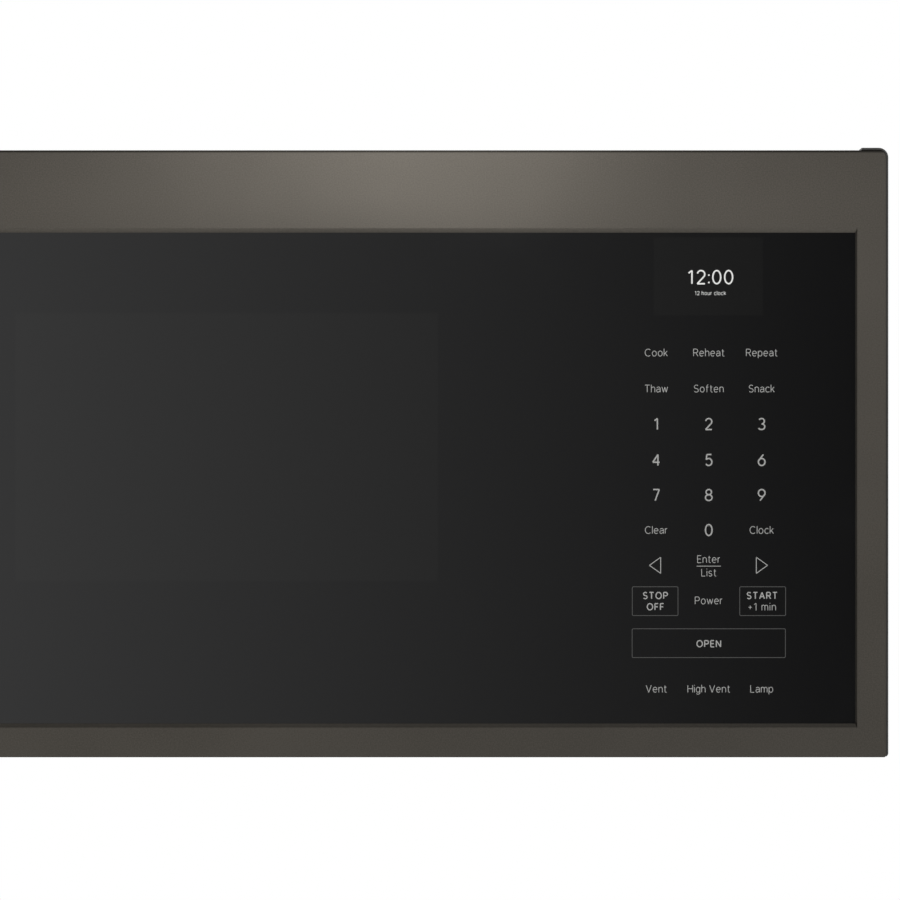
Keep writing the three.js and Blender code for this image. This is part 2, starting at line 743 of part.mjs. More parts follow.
// Everything in the blower is drawn about its shaft, then moved there.
function blowerHousing() {
  const footZ = cavityRoofOuter + seat - blowerZ;
  const mouthFront = -scrollRadius - scrollMouthReach;
  const mouthZ = (inset) => [scrollMouthLow + inset, scrollRadius - inset];
  const motorPocket = blowerMotorRadius + seat;
  const solids = [
    slab([-scrollX[1], scrollX[1]], [-blowerFoot, blowerFoot], [footZ, footZ + blowerFootSheet]),
    slab([-scrollX[0], scrollX[0]], around(0, blowerMotorRadius), [footZ, -blowerMotorRadius * 0.7]),
  ];
  const hollows = [rod("x", motorPocket, [-scrollX[0] - past, scrollX[0] + past], [0, 0], 32)];
  for (const side of [-1, 1]) {
    const across = (inset) => {
      const ends = [side * (scrollX[0] + inset), side * (scrollX[1] - inset)];
      return side > 0 ? ends : ends.reverse();
    };
    solids.push(
      rod("x", scrollRadius, across(0), [0, 0], 40),
      slab(across(0), [mouthFront, 0], mouthZ(0)),
      slab(across(0), [-blowerFoot, blowerFoot], [footZ, -scrollRadius / 2]),
    );
    hollows.push(
      rod("x", scrollRadius - scrollSheet, across(scrollSheet), [0, 0], 40),
      slab(across(scrollSheet), [mouthFront - past, 0], mouthZ(scrollSheet)),
      rod("x", wheelRadius - inletLap, across(-past), [0, 0], 32),
    );
  }
  return cut(join(...solids), ...hollows);
}

function blowerWheel(middle) {
  const ends = around(middle, wheelWidth);
  const bladeX = [ends[0] + wheelPlate / 2, ends[1] - wheelPlate / 2];
  const tube = (outer, x) => rod("x", outer, x, [0, 0], 36);
  const rimHole = wheelRadius - wheelRing * 1.5;
  const rim = (x) => cut(tube(wheelRadius, x), tube(rimHole, [x[0] - past, x[1] + past]));
  const blades = Array.from({ length: wheelBlades }, (_, index) => {
    const blade = slab(bladeX, around(0, bladeSheet), around(0, wheelRing * 1.2)).rotateX(0.6);
    return blade.translate(0, 0, wheelRadius - wheelRing).rotateX((index * 2 * Math.PI) / wheelBlades);
  });
  return cut(
    join(
      rim([ends[0], ends[0] + wheelPlate]),
      rim([ends[1] - wheelPlate, ends[1]]),
      tube(wheelRadius - wheelRing / 2, around(middle, wheelPlate)),
      tube(blowerShaftRadius * 2, around(middle, wheelPlate * 6)),
      ...blades,
    ),
    tube(blowerShaftRadius + shaftGap, [ends[0] - past, ends[1] + past]),
  );
}

function buildBlower() {
  const group = new THREE.Group();
  group.position.set(0, -blowerFromWall, blowerZ);
  const shaftEnd = wheelMiddle + wheelPlate * 4;
  const motorX = [-blowerMotorLength / 2, blowerMotorLength / 2];
  const motorBore = rod("x", blowerShaftRadius + shaftGap, [motorX[0] - past, motorX[1] + past], [0, 0]);
  const motor = cut(rod("x", blowerMotorRadius, motorX, [0, 0], 32), motorBore);
  place(group, "blower_housing", blowerHousing(), zincSteel);
  place(group, "blower_motor", motor, laminations);
  place(group, "blower_shaft", rod("x", blowerShaftRadius, [-shaftEnd, shaftEnd], [0, 0]), zincSteel);
  place(group, "blower_wheel_left", blowerWheel(-wheelMiddle), zincSteel);
  place(group, "blower_wheel_right", blowerWheel(wheelMiddle), zincSteel);
  return group;
}

// ---- microwave generator, cooling fan, power board, cavity lamp ----
function waveguide() {
  const x = [cavityRightOuter + seat, cavityRightOuter + seat + waveguideDepth];
  const y = around(-waveguideFromWall, waveguideLength);
  const z = around(waveguideZ, waveguideHeight);
  const inset = ([low, high]) => [low + waveguideSheet, high - waveguideSheet];
  const feedX = [x[0] - past, x[0] + waveguideSheet * 2];
  const antennaHoleX = [x[1] - waveguideSheet * 2, x[1] + past];
  return cut(
    slab(x, y, z),
    slab(inset(x), inset(y), inset(z)),
    slab(feedX, around(-waveguideFromWall, feedLength), around(feedZ, feedHeight)),
    rod("x", antennaRadius + antennaGap, antennaHoleX, [-waveguideFromWall, antennaZ]),
  );
}

const antennaZ = waveguideZ - waveguideHeight / 4;
const magnetronX = cavityRightOuter + waveguideDepth + 2 * seat;

function magnetron() {
  const y = around(-waveguideFromWall, magnetronSide);
  const z = around(antennaZ, magnetronSide);
  const yoke = magnetronYoke;
  const filterBox = magnetronLength / 4;
  const boxY = around(-waveguideFromWall, magnetronBoxWidth);
  const boxZ = around(antennaZ, magnetronBoxHeight);
  const yokeEnd = magnetronX + magnetronLength - filterBox;
  const core = (radius, x) => rod("x", radius, x, [-waveguideFromWall, antennaZ]);
  const pitch = (yokeEnd - magnetronX - 2 * yoke) / (magnetronFins + 1);
  const fins = Array.from({ length: magnetronFins }, (_, index) =>
    slab(around(magnetronX + yoke + (index + 1) * pitch, finSheet), y, z),
  );
  return join(
    slab([magnetronX, magnetronX + yoke], y, z),
    slab([yokeEnd - yoke, yokeEnd], y, z),
    slab([magnetronX, yokeEnd], y, [z[0] - yoke, z[0] + yoke / 2]),
    slab([magnetronX, yokeEnd], y, [z[1] - yoke / 2, z[1] + yoke]),
    slab([yokeEnd - yoke / 2, yokeEnd + filterBox], boxY, boxZ),
    core(magnetronSide / 4, [magnetronX + yoke / 2, yokeEnd - yoke / 2]),
    core(antennaRadius, [magnetronX - antennaReach, magnetronX + yoke / 2]),
    ...fins,
  );
}

const coreBase = baseTop + seat;
const coreWindow = (coreWidth - 4 * coreLeg) / 2; // the middle leg is two outer legs wide

function transformerCore() {
  const y = around(-coreFromWall, coreDepth);
  const windowZ = [coreBase + coreLeg, coreBase + coreHeight - coreLeg];
  const windowAt = (side) =>
    slab(around(coreX + side * (coreLeg + coreWindow / 2), coreWindow), [y[0] - past, y[1] + past], windowZ);
  return cut(slab(around(coreX, coreWidth), y, [coreBase, coreBase + coreHeight]), windowAt(-1), windowAt(1));
}

// Two windings share the core's window, one above the other.
function winding(level) {
  const share = (coreHeight - 2 * coreLeg) / 2;
  const low = coreBase + coreLeg + level * share;
  const z = [low + windingGap / 2, low + share - windingGap / 2];
  const y = -coreFromWall;
  return cut(
    slab(around(coreX, 2 * (coreLeg + coreWindow - windingGap)), around(y, coreDepth + 2 * windingBulge), z),
    slab(around(coreX, 2 * (coreLeg + seat)), around(y, coreDepth + 2 * seat), [z[0] - past, z[1] + past]),
  );
}

function capacitor() {
  const at = [capacitorX, -capacitorFromWall];
  const half = (capacitorWidth - capacitorDepth) / 2;
  const z = [coreBase, coreBase + capacitorHeight];
  const terminal = (x) => rod("z", 3, [z[1] - 1, z[1] + 10], [x, at[1]], 12);
  return join(
    slab(around(at[0], 2 * half), around(at[1], capacitorDepth), z),
    rod("z", capacitorDepth / 2, z, [at[0] - half, at[1]]),
    rod("z", capacitorDepth / 2, z, [at[0] + half, at[1]]),
    terminal(at[0] - half),
    terminal(at[0] + half),
  );
}

const fanRear = panelFrontY - seat - fanFromPanel;
const fanY = [fanRear - fanDepth, fanRear];

function fanShroud() {
  const x = around(fanX, fanSide);
  const z = around(fanZ, fanSide);
  const armY = [fanRear - fanArmSheet, fanRear];
  const legY = [fanRear - 1, panelFrontY - seat];
  const legInset = fanSide / 2 - fanFoot;
  const leg = (side, level) =>
    rod("y", fanFoot / 2, legY, [fanX + side * legInset, fanZ + level * legInset], 12);
  const legs = [leg(-1, -1), leg(-1, 1), leg(1, -1), leg(1, 1)];
  const bladeHole = rod("y", fanBladeRadius + fanTipGap, widen(fanY, past), [fanX, fanZ], 48);
  const frame = cut(slab(x, fanY, z), bladeHole);
  const cross = join(slab(around(fanX, fanFoot), armY, z), slab(x, armY, around(fanZ, fanFoot)), ...legs);
  return cut(join(frame, cross), rod("y", fanPinRadius + seat, widen(armY, past), [fanX, fanZ]));
}

function fanBlade() {
  const hubY = [fanY[0] + 2, fanRear - fanArmSheet - 2];
  const middle = (hubY[0] + hubY[1]) / 2;
  const chord = (hubY[1] - hubY[0]) * 0.8;
  const blades = Array.from({ length: fanBlades }, (_, index) => {
    const blade = slab(around(0, chord * 1.2), around(0, fanBladeSheet), [fanHubRadius - 2, fanBladeRadius]);
    blade.rotateZ(0.65).rotateY((index * 2 * Math.PI) / fanBlades);
    return blade.translate(fanX, middle, fanZ);
  });
  const bar = (radius, y) => rod("y", radius, y, [fanX, fanZ], 32);
  return cut(
    join(bar(fanHubRadius, hubY), ...blades),
    bar(fanHubRadius - fanHubSheet, [hubY[0] + fanHubSheet, hubY[1] + past]),
    bar(fanPinRadius + seat, [hubY[0] - past, hubY[1] + past]),
  );
}

function fanMotor() {
  const bodyY = [fanRear + seat, fanRear + seat + fanMotorLength];
  const pin = rod("y", fanPinRadius, [fanY[0] + 1, bodyY[0] + 1], [fanX, fanZ], 16);
  return join(rod("y", fanMotorRadius, bodyY, [fanX, fanZ]), pin);
}

function powerBoard() {
  const face = caseInnerHalf - seat - powerBoardLegs;
  const y = around(-powerBoardFromWall, powerBoardLength);
  const z = around(powerBoardZ, powerBoardHeight);
  const legs = y.flatMap((edge) =>
    z.map((level) => {
      const legY = edge + Math.sign(-powerBoardFromWall - edge) * powerBoardLegs;
      const legZ = level + Math.sign(powerBoardZ - level) * powerBoardLegs;
      return rod("x", boardLegRadius, [face - boardThickness / 2, caseInnerHalf - seat], [legY, legZ], 12);
    }),
  );
  return join(slab([face - boardThickness, face], y, z), ...legs);
}

function cavityLamp() {
  const x = [cavityRightOuter + seat, cavityRightOuter + seat + lampModuleDepth];
  const y = around(-lampFromWall, lampModuleLength);
  return join(
    slab(x, y, around(lampZ, lampModuleHeight)),
    rod("x", lampLensRadius, [cavityRightX, x[0] + 1], [-lampFromWall, lampZ]),
  );
}

function buildElectrics() {
  const group = new THREE.Group();
  const micaX = [cavityRightX - seat - micaSheet, cavityRightX - seat];
  const micaY = around(-waveguideFromWall, feedLength + 2 * micaLap);
  place(group, "waveguide", waveguide(), zincSteel);
  place(group, "waveguide_cover", slab(micaX, micaY, around(feedZ, feedHeight + 2 * micaLap)), mica);
  place(group, "magnetron", magnetron(), aluminium);
  place(group, "transformer_core", transformerCore(), laminations);
  place(group, "primary_winding", winding(0), copper);
  place(group, "secondary_winding", winding(1), copper);
  place(group, "capacitor", capacitor(), aluminium);
  place(group, "cooling_fan_shroud", fanShroud(), darkPlastic);
  place(group, "cooling_fan_motor", fanMotor(), laminations);
  place(group, "cooling_fan_blade", fanBlade(), whitePlastic);
  place(group, "power_board", powerBoard(), greenBoard);
  place(group, "cavity_lamp", cavityLamp(), whitePlastic);
  return group;
}

// ---- latch: housing, switches and opener behind the front plate ----
const hookRearY = frontPlateRearY + hookReach;
const hookUnder = (z) => z - hookHeight / 2;
const latchHousingZ = [latchLowZ - latchHousingEnd, latchHighZ + latchHousingEnd];
const lifterY = hookRearY - hookLipLength / 2;

// The front plate closes this channel. A ledge under each arm holds the lip that hangs behind it.
function latchHousing() {
  const x = [latchX - latchHousingHalfWidth, latchX + latchHousingHalfWidth];
  const y = [caseFrontY, caseFrontY + latchHousingDepth];
  const wall = latchHousingWall;
  const ledge = (z) => {
    const top = hookUnder(z) - latchPlay;
    return slab(x, [y[0], hookRearY - hookLipLength - latchPlay], [top - ledgeHeight, top]);
  };
  const hollow = slab(widen(x, -wall), [y[0] - past, y[1] - wall], widen(latchHousingZ, -wall));
  const channel = cut(slab(x, y, latchHousingZ), hollow);
  const lifterHole = [latchHousingZ[0] - past, latchHousingZ[0] + wall + past];
  return cut(
    join(channel, ledge(latchLowZ), ledge(latchHighZ)),
    rod("z", lifterRadius + latchPlay, lifterHole, [latchX, lifterY]),
  );
}

function interlockSwitch(z) {
  const x = latchX + latchHousingHalfWidth + seat;
  const y = [caseFrontY + 3, caseFrontY + 3 + switchDepth];
  const terminals = [0.25, 0.75].map((share) => {
    const level = z - switchHeight / 2 + share * switchHeight;
    return slab(around(x + switchWidth / 2, 0.8), [y[1] - 1, y[1] + 7], around(level, 4));
  });
  return join(slab([x, x + switchWidth], y, around(z, switchHeight)), ...terminals);
}

function buildLatch() {
  const group = new THREE.Group();
  const actuatorTop = latchHousingZ[0] - seat;
  const lifterTop = hookUnder(latchLowZ) - hookLip - seat;
  const lifterZ = [lifterTop - lifterRodLength, lifterTop];
  const actuatorY = [caseFrontY + 2, caseFrontY + 2 + openerDepth];
  const bore = rod("z", lifterRadius + seat, [lifterZ[0] - 1.5, actuatorTop + past], [latchX, lifterY]);
  const actuator = slab(around(latchX, openerWidth), actuatorY, [actuatorTop - openerHeight, actuatorTop]);
  place(group, "latch_housing", latchHousing(), whitePlastic);
  place(group, "interlock_switch_upper", interlockSwitch(latchHighZ - switchHeight / 2), darkPlastic);
  place(group, "interlock_switch_lower", interlockSwitch(latchLowZ + switchHeight / 2), darkPlastic);
  place(group, "opener_actuator", cut(actuator, bore), darkPlastic);
  place(group, "opener_lifter", rod("z", lifterRadius, lifterZ, [latchX, lifterY]), zincSteel);
  return group;
}

// ---- door ----
const skinHalf = doorWidth / 2 - trimThickness - seat;
const skinInnerHalf = skinHalf - skinFlange;
const carrierHalf = skinInnerHalf - seat;
const carrierFrontY = doorFrontY + skinFace + seat;
const glassY = [carrierFrontY, carrierFrontY + glassThickness];
const glassRearY = glassY[1] + seat;
const hingeBand = skinFlange + armToFlange + armThickness + armToCarrier;
const carrierZ = [hingeBand, doorHeight - hingeBand];
const openingHalf = doorWidth / 2 - sideStile;
const openingZ = [bottomRail, doorHeight - topRail];

function doorSkin() {
  const radii = [skinBottomCorner, skinBottomCorner, skinTopCorner, skinTopCorner];
  const outline = roundedOutline([-skinHalf, skinHalf], [0, doorHeight], radii);
  const innerY = [doorFrontY + skinFace, doorFrontY + skinFlangeDepth + past];
  const opening = [-openingHalf, openingHalf];
  const slope = (width, along) => (width * along) / skinFace; // the bevel runs through the sheet
  return cut(
    panel(outline, [doorFrontY, doorFrontY + skinFlangeDepth]),
    slab([-skinInnerHalf, skinInnerHalf], innerY, [skinFlange, doorHeight - skinFlange]),
    funnel(
      widen(opening, slope(bevelSide, skinFace + past)),
      widen(openingZ, slope(bevelWidth, skinFace + past)),
      doorFrontY - past,
      widen(opening, -slope(bevelSide, past)),
      widen(openingZ, -slope(bevelWidth, past)),
      doorFrontY + skinFace + past,
    ),
  );
}

// The end trim covers the skin's folded edge and hooks over its top corner.
function doorTrim(side) {
  const outerHalf = doorWidth / 2;
  const hookEnd = outerHalf - trimHookWidth;
  const top = doorHeight + trimRise;
  const y = [doorFrontY + 1, doorFrontY + skinFlangeDepth];
  const outer = roundedOutline([hookEnd, outerHalf], [0, top], [0, 3, skinTopCorner + trimRise, 0]);
  const innerX = [hookEnd - past, outerHalf - trimThickness];
  const inner = roundedOutline(innerX, [-past, top - trimThickness], [0, 0, skinTopCorner + seat, 0]);
  const trim = cut(panel(outer, y), panel(inner, [y[0] - past, y[1] + past]));
  return side > 0 ? trim : mirrored(trim);
}

// A copy on the other side of the machine's middle, with its faces turned the right way out again.
function mirrored(geometry) {
  const copy = geometry.clone().scale(-1, 1, 1);
  const index = copy.index.array;
  for (let at = 0; at < index.length; at += 3) {
    [index[at], index[at + 1]] = [index[at + 1], index[at]];
  }
  return copy;
}

const chokeX = widen(around(cavityX, cavityWidth), chokeLap);
const chokeZ = widen(around(cavityZ, cavityHeight), chokeLap);
const chokeRear = doorRearY - chokeCoverThickness - seat;
const chokeFront = chokeRear - chokeDepth - chokeSheet;
const chokeInner = chokeWidth + 2 * chokeSheet; // how far the middle plate is inside the outer wall
const webY = [chokeRear - 4, chokeRear - 4 + chokeSheet];
const windowX = around(cavityX, windowWidth);
const windowZ = around(cavityZ, windowHeight);
const windowAt = (lap, y) => slab(widen(windowX, lap), y, widen(windowZ, lap));

// A folded channel round the window stops the microwaves. It opens towards the cavity.
function chokePan() {
  const block = (inset, y) => slab(widen(chokeX, -inset), y, widen(chokeZ, -inset));
  const channel = cut(
    block(chokeSheet, [chokeFront + chokeSheet, chokeRear + past]),
    block(chokeSheet + chokeWidth, [chokeFront, chokeRear + 2 * past]),
  );
  return cut(
    block(0, [chokeFront, chokeRear]),
    channel,
    block(chokeInner, [chokeFront - past, webY[0]]),
    block(chokeInner, [webY[1], chokeRear + past]),
    windowAt(0, [webY[0] - past, webY[1] + past]),
  );
}

const latchBarZ = [latchLowZ - latchBarEnd, latchHighZ + latchBarEnd];
const carrierWallY = doorRearY - carrierRearWall;
const latchBarY = [carrierWallY - seat - latchBarDepth, carrierWallY - seat];
const springTop = latchBarZ[1] + seat + latchSpringLength;
const controlX = [chokeX[1] + seat + carrierRib, carrierHalf - carrierSideWall];
const touchX = (controlX[0] + controlX[1]) / 2 - touchFromMiddle;

function doorCarrier() {
  const frontY = [carrierFrontY - past, glassRearY];
  const through = [glassRearY - past, doorRearY + past];
  const pocketY = [carrierFrontY - past, carrierWallY];
  const panWall = [chokeX[1] + seat, chokeZ[1] + seat, chokeZ[0] - seat];
  const leftX = -carrierHalf + carrierHingeWall;
  const pocketTop = carrierZ[1] - carrierTopWall;
  const pocketBottom = carrierZ[0] + carrierBottomWall;
  const body = join(
    slab([-carrierHalf, carrierHalf], [carrierFrontY, pivotY], carrierZ),
    slab([pivotX, carrierHalf], [carrierFrontY, doorRearY], carrierZ),
    rod("z", pivotInset, carrierZ, [pivotX, pivotY], 40),
  );
  const pinHole = (z) => rod("z", hingePinRadius + hingePinGap, z, [pivotX, pivotY], 20);
  const pinDepth = skinFlange + armToFlange + armThickness + hingePinLength + hingePinGap;
  const slot = (z) =>
    slab(around(latchX, hookThickness + 1), [carrierWallY - past, doorRearY + past], [
      hookUnder(z) - hookLip - 0.5,
      z + hookHeight / 2 + latchTravel + 0.5,
    ]);
  return cut(
    body,
    slab(widen([-openingHalf, openingHalf], glassLap + seat), frontY, widen(openingZ, glassLap + seat)),
    slab(widen(chokeX, seat), through, widen(chokeZ, seat)),
    slab(controlX, pocketY, [pocketBottom, pocketTop]),
    slab([leftX, panWall[0]], pocketY, [panWall[1] + carrierRib, pocketTop]),
    slab([leftX, panWall[0]], pocketY, [pocketBottom, panWall[2] - carrierRib]),
    pinHole([carrierZ[1] - pinDepth + hingeBand, carrierZ[1] + past]),
    pinHole([carrierZ[0] - past, pinDepth]),
    slot(latchLowZ),
    slot(latchHighZ),
  );
}

// A fork on the carrier's rear wall keeps the latch bar upright and holds the spring's upper end.
function latchGuide() {
  const y = [latchBarY[0] - guideLip, carrierWallY - seat];
  const barZ = [latchLowZ + 2 * hookHeight, latchHighZ - 2 * hookHeight];
  const seatZ = [springTop + seat, springTop + seat + springSeatHeight];
  const besideBar = hookThickness / 2 + seat;
  const besideSpring = latchSpringRadius + latchSpringWire + latchPlay;
  const outside = besideSpring + guideSheet;
  const prong = (side, from, z) => slab(around(latchX + (side * (from + outside)) / 2, outside - from), y, z);
  return join(
    prong(-1, besideBar, barZ),
    prong(1, besideBar, barZ),
    prong(-1, besideSpring, [barZ[0], seatZ[1]]),
    prong(1, besideSpring, [barZ[0], seatZ[1]]),
    slab(around(latchX, 2 * outside), y, seatZ),
  );
}

// Two hooks on one bar. Lifting the bar raises both lips above the ledges that hold them.
function latchSlider() {
  const x = around(latchX, hookThickness);
  const hook = (z) => {
    const arm = slab(x, [latchBarY[1] - 1, hookRearY], around(z, hookHeight));
    const lipZ = [hookUnder(z) - hookLip, hookUnder(z) + 1];
    return join(arm, slab(x, [hookRearY - hookLipLength, hookRearY], lipZ));
  };
  return join(slab(x, latchBarY, latchBarZ), hook(latchLowZ), hook(latchHighZ));
}

// A closed coil of round wire that stands on the Z axis.
function coil(radius, wire, turns, [z0, z1]) {
  const stepsPerTurn = 12;
  const sides = 6;
  const steps = turns * stepsPerTurn;
  const points = [];
  const faces = [];
  const at = (step, side) => step * sides + (side % sides);
  for (let step = 0; step <= steps; step += 1) {
    const turn = (step / stepsPerTurn) * 2 * Math.PI;
    const z = z0 + wire + ((z1 - z0 - 2 * wire) * step) / steps;
    for (let side = 0; side < sides; side += 1) {
      const round = (side / sides) * 2 * Math.PI;
      const reach = radius + wire * Math.cos(round);
      points.push(reach * Math.cos(turn), reach * Math.sin(turn), z + wire * Math.sin(round));
      if (step === steps) continue;
      faces.push(at(step, side), at(step + 1, side), at(step + 1, side + 1));
      faces.push(at(step, side), at(step + 1, side + 1), at(step, side + 1));
    }
  }
  for (let side = 1; side < sides - 1; side += 1) {
    faces.push(at(0, 0), at(0, side), at(0, side + 1));
    faces.push(at(steps, 0), at(steps, side + 1), at(steps, side));
  }
  const geometry = new THREE.BufferGeometry();
  geometry.setAttribute("position", new THREE.Float32BufferAttribute(points, 3));
  geometry.setIndex(faces);
  geometry.computeVertexNormals();
  return geometry;
}

function buildDoor() {
  const group = new THREE.Group();
  const glassHalf = openingHalf + glassLap;
  const glass = slab([-glassHalf, glassHalf], glassY, widen(openingZ, glassLap));
  const screenY = [webY[0] - seat - screenSheet, webY[0] - seat];
  const innerWindowY = [webY[1] + seat, webY[1] + seat + innerWindowThickness];
  const coverY = [doorRearY - chokeCoverThickness, doorRearY];
  const cover = cut(
    slab(chokeX, coverY, chokeZ),
    slab(widen(chokeX, -chokeInner), widen(coverY, past), widen(chokeZ, -chokeInner)),
  );
  const displayY = [glassRearY, glassRearY + displayThickness];
  const displayTop = displayZ + displayHeight / 2;
  const boardY = [glassRearY, glassRearY + boardThickness];
  const board = join(
    slab([controlX[0] + boardGap, touchX + boardReach], boardY, [boardLow, displayTop]),
    slab(around(touchX, displayWidth), displayY, around(displayZ, displayHeight)),
  );
  const spring = coil(latchSpringRadius, latchSpringWire, 6, [latchBarZ[1] + seat, springTop]);
  spring.translate(latchX, (latchBarY[0] + latchBarY[1]) / 2, 0);
  place(group, "door_skin", doorSkin(), blackStainless);
  place(group, "door_trim_left", doorTrim(-1), darkTrim);
  place(group, "door_trim_right", doorTrim(1), darkTrim);
  place(group, "door_glass", glass, blackGlass);
  place(group, "door_carrier", doorCarrier(), darkPlastic);
  place(group, "choke_pan", chokePan(), zincSteel);
  place(group, "choke_cover", cover, darkPlastic);
  place(group, "door_screen", windowAt(screenLap, screenY), zincSteel);
  place(group, "inner_window", windowAt(innerWindowLap, innerWindowY), clearGlass);
  place(group, "latch_guide", latchGuide(), whitePlastic);
  place(group, "control_board", board, greenBoard);
  place(group, "latch_slider", latchSlider(), whitePlastic);
  place(group, "latch_spring", spring, zincSteel);
  return group;
}

const microwave = new THREE.Group();
microwave.name = "over_range_microwave";
const sections = [buildCase(), buildCavity(), buildBlower(), buildElectrics(), buildLatch(), buildDoor()];
microwave.add(...sections);
microwave.position.z = -doorHeight / 2;

export default microwave;
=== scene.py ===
# An over-the-range microwave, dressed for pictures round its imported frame.
# Lengths are metres. +X is to the cook's right, +Y goes into the wall and +Z is up.
import json
import math
import random

import bpy
from mathutils import Matrix, Vector


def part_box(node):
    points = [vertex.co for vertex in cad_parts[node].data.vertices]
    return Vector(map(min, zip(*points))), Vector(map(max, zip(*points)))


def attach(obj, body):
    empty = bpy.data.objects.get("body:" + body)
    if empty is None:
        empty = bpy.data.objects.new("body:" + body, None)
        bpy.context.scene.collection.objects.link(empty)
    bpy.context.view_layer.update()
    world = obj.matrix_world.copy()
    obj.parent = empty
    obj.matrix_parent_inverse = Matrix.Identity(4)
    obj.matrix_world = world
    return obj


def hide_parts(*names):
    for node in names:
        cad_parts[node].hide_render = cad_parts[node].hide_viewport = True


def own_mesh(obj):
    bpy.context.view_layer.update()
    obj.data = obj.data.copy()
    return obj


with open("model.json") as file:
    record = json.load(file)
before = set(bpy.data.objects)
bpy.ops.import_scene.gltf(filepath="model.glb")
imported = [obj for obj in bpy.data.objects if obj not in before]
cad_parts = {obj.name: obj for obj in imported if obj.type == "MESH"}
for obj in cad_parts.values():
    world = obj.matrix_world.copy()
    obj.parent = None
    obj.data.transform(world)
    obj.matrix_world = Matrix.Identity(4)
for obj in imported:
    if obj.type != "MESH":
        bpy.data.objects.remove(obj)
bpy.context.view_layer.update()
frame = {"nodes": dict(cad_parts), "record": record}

bodyOf = {node: body for body, nodes in frame["record"]["behaviour"]["bodies"].items() for node in nodes}
slotOf = {part["node"]: part["material_slot"] for part in frame["record"]["subparts"]}


def boxMiddle(node):
    low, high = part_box(node)
    return (low + high) / 2


class Signal:  # an expression on signals adds its own Math nodes
    def __init__(self, nodes, socket):
        self.nodes = nodes
        self.socket = socket

    def maths(self, operation, *values):
        return self.nodes.add("ShaderNodeMath", {"operation": operation}, dict(enumerate(values)))

    def __add__(self, other):
        return self.maths("ADD", self, other)

    def __radd__(self, other):
        return self.maths("ADD", other, self)

    def __sub__(self, other):
        return self.maths("SUBTRACT", self, other)

    def __rsub__(self, other):
        return self.maths("SUBTRACT", other, self)

    def __mul__(self, other):
        return self.maths("MULTIPLY", self, other)

    def __rmul__(self, other):
        return self.maths("MULTIPLY", other, self)

    def __truediv__(self, other):
        return self.maths("DIVIDE", self, other)

    def __rtruediv__(self, other):
        return self.maths("DIVIDE", other, self)

    def __pow__(self, other):
        return self.maths("POWER", self, other)

    def __rpow__(self, other):
        return self.maths("POWER", other, self)

    def __gt__(self, other):
        return self.maths("GREATER_THAN", self, other)

    def __lt__(self, other):
        return self.maths("LESS_THAN", self, other)

    def larger(self, other):
        return self.maths("MAXIMUM", self, other)

    def away(self, other):  # how far from a value
        return self.maths("ABSOLUTE", self - other)

    def fraction(self):
        return self.maths("FRACT", self)

    def ramp(self, low, high):  # 0 at low and 1 at high, smooth between
        settings = {"interpolation_type": "SMOOTHSTEP", "clamp": True}
        inputs = {"Value": self, "From Min": low, "From Max": high}
        return self.nodes.add("ShaderNodeMapRange", settings, inputs)


def ink(red, green, blue):  # a colour picked on screen, 0 to 255, as the shader's linear values
    def linear(level):
        share = level / 255
        return share / 12.92 if share <= 0.04045 else ((share + 0.055) / 1.055) ** 2.4
    return (linear(red), linear(green), linear(blue), 1)


class Nodes:  # a node tree, and the one way in which its nodes are made
    def __init__(self, tree):
        self.tree = tree

    def add(self, kind, settings=None, inputs=None, output=0):
        node = self.tree.nodes.new(kind)
        for key, value in (settings or {}).items():
            setattr(node, key, value)
        for key, value in (inputs or {}).items():
            self.feed(node.inputs[key], value)
        return Signal(self, node.outputs[output])

    def feed(self, socket, value):
        if isinstance(value, Signal):
            self.tree.links.new(value.socket, socket)
        else:
            socket.default_value = value


socketNames = {  # the others are their own name with a capital
    "baseColor": "Base Color",
    "coatWeight": "Coat Weight",
    "coatRoughness": "Coat Roughness",
    "specular": "Specular IOR Level",
    "emission": "Emission Color",
    "glow": "Emission Strength",
    "transmission": "Transmission Weight",
    "index": "IOR",
}


